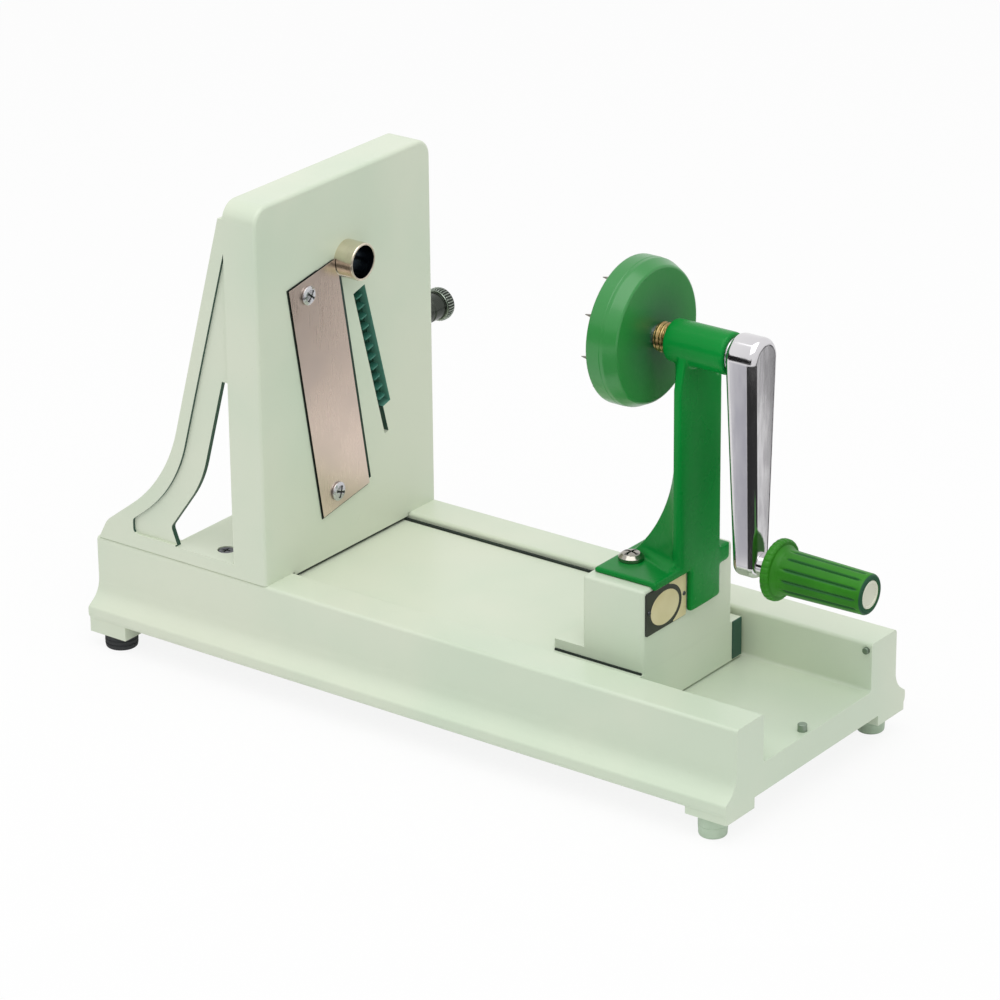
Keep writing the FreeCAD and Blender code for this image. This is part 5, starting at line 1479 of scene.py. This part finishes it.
# %% Floor and world
FLOOR_HALF = 6.0
SKY_STRENGTH = 0.59
floor_finish = Finish("pale_floor", roughness=0.9)
floor_finish.set(base_color=floor_finish.mix(floor_finish.noise(3, 2), "f4f4f4", "fafafa"))
glow = floor_finish.add("ShaderNodeEmission", values={"Color": "ffffff", "Strength": 1.0})
glow_share = floor_finish.ray("Camera") * 0.88 + floor_finish.ray("Glossy") * 0.7
both = floor_finish.add("ShaderNodeMixShader", values={
    0: glow_share.clipped(), 1: Tap(floor_finish, floor_finish.shader.outputs[0]), 2: glow})
floor_finish.tree.links.new(
    both.socket, floor_finish.tree.nodes["Material Output"].inputs[0])
floor_mesh = bpy.data.meshes.new("floor")
floor_mesh.from_pydata([(x * FLOOR_HALF, y * FLOOR_HALF, 0) for x, y in (
    (-1, -1), (1, -1), (1, 1), (-1, 1))], [], [(0, 1, 2, 3)])
floor_mesh.materials.append(floor_finish.material)
mesh_object("floor", floor_mesh)


class Surroundings(Finish):
    """The world's tree, with the same helper calls as a finish."""

    def __init__(self, name):
        self.world = bpy.data.worlds.new(name)
        self.world.use_nodes = True
        self.tree = self.world.node_tree


around = Surroundings("studio")
sky = around.tree.nodes["Background"]
white = (around.ray("Camera") + around.ray("Glossy") + around.ray("Transmission")).clipped()
around.feed(sky.inputs["Color"], "ffffff")
around.feed(sky.inputs["Strength"], white * (1 - SKY_STRENGTH) + SKY_STRENGTH)
scene.world = around.world
print("world strength on the object:", SKY_STRENGTH)

# %% [markdown]
# Polished metal and gloss paint show the room. The photographer's side of the
# room is dark, so a dark sheet lies in front of the crank and a low dark wall
# stands further off. They put the black lines on the chrome's soft edges. A
# grey strip tones down the arm's near side, and two dark strips keep the post's
# face a deep green. Only mirror rays meet them, so they cast no shade.

# %% Dark side of the room
CARD_FROM = 330
BEHIND_POST = (0.559, 0.829)
BEFORE_ARM = (-0.552, -0.834)


def mirror_card(name, places, faces, tone="060607", other="0c0c0e"):
    """A card that only mirror rays meet, cloudy between two colours."""
    mesh = bpy.data.meshes.new(name)
    mesh.from_pydata([tuple(place) for place in places], [], faces)
    finish = Finish(name + "_paper", roughness=0.95)
    finish.set(base_color=finish.mix(finish.noise(4, 2), tone, other))
    mesh.materials.append(finish.material)
    card = mesh_object(name, mesh)
    for kind in ("camera", "diffuse", "transmission", "volume_scatter", "shadow"):
        setattr(card, "visible_" + kind, False)


def swept_card(name, first, last, low_edge, high_edge, steps=24):
    """A card between two rings round the crank, each (reach, height).

    The angles are in degrees; 0 is towards the near side, 90 the crank's end.
    """
    places = []
    for i in range(steps + 1):
        turn = math.radians(first + (last - first) * i / steps)
        places += [at(CARD_FROM + reach * math.sin(turn), -reach * math.cos(turn), height)
                   for reach, height in (low_edge, high_edge)]
    mirror_card(name, places, [(i, i + 2, i + 3, i + 1) for i in range(0, 2 * steps, 2)])


def floor_strip(name, heading, across, along, **colours):
    """A straight card on the floor, for faces that mirror what lies in that heading."""
    hx, hy = heading
    places = [at(a * abs(hy) + b * hx, b * hy - a * abs(hx), 1.7) for a, b in (
        (across[0], along[0]), (across[1], along[0]),
        (across[1], along[1]), (across[0], along[1]))]
    mirror_card(name, places, [(0, 1, 2, 3)], **colours)


swept_card("dark_sheet", -26, 138, (170, 1.5), (600, 1.5))
swept_card("dark_wall", -100, 40, (1500, 0), (1500, 560))
floor_strip("dark_strip", BEHIND_POST, (130, 265), (385, 1500))
floor_strip("dark_strip_far", BEHIND_POST, (294, 440), (300, 1500))
floor_strip("grey_strip", BEFORE_ARM, (264, 296), (20, 400), tone="adadb6", other="b8b8c0")
print("the room's dark side is set")

# %% [markdown]
# One large soft lamp hangs over the machine, a little to the near side. It
# makes the tops the brightest faces, the near sides the next, and the end
# faces the darkest, as in the photograph.

# %% Lamps
LAMP_PLACE = Vector((0.3, -0.5, 2.1))
LAMP_SIDE = 2.2
LAMP_POWER = 28
softbox = bpy.data.lights.new("key_softbox", "AREA")
softbox.size = LAMP_SIDE
softbox.energy = LAMP_POWER
key = bpy.data.objects.new("key_softbox", softbox)
key.location = LAMP_PLACE
key.rotation_euler = (at(180, 0, 100) - LAMP_PLACE).to_track_quat("-Z", "Y").to_euler()
scene.collection.objects.link(key)
scene.view_settings.view_transform = "Standard"
print("lamp:", LAMP_POWER, "W")
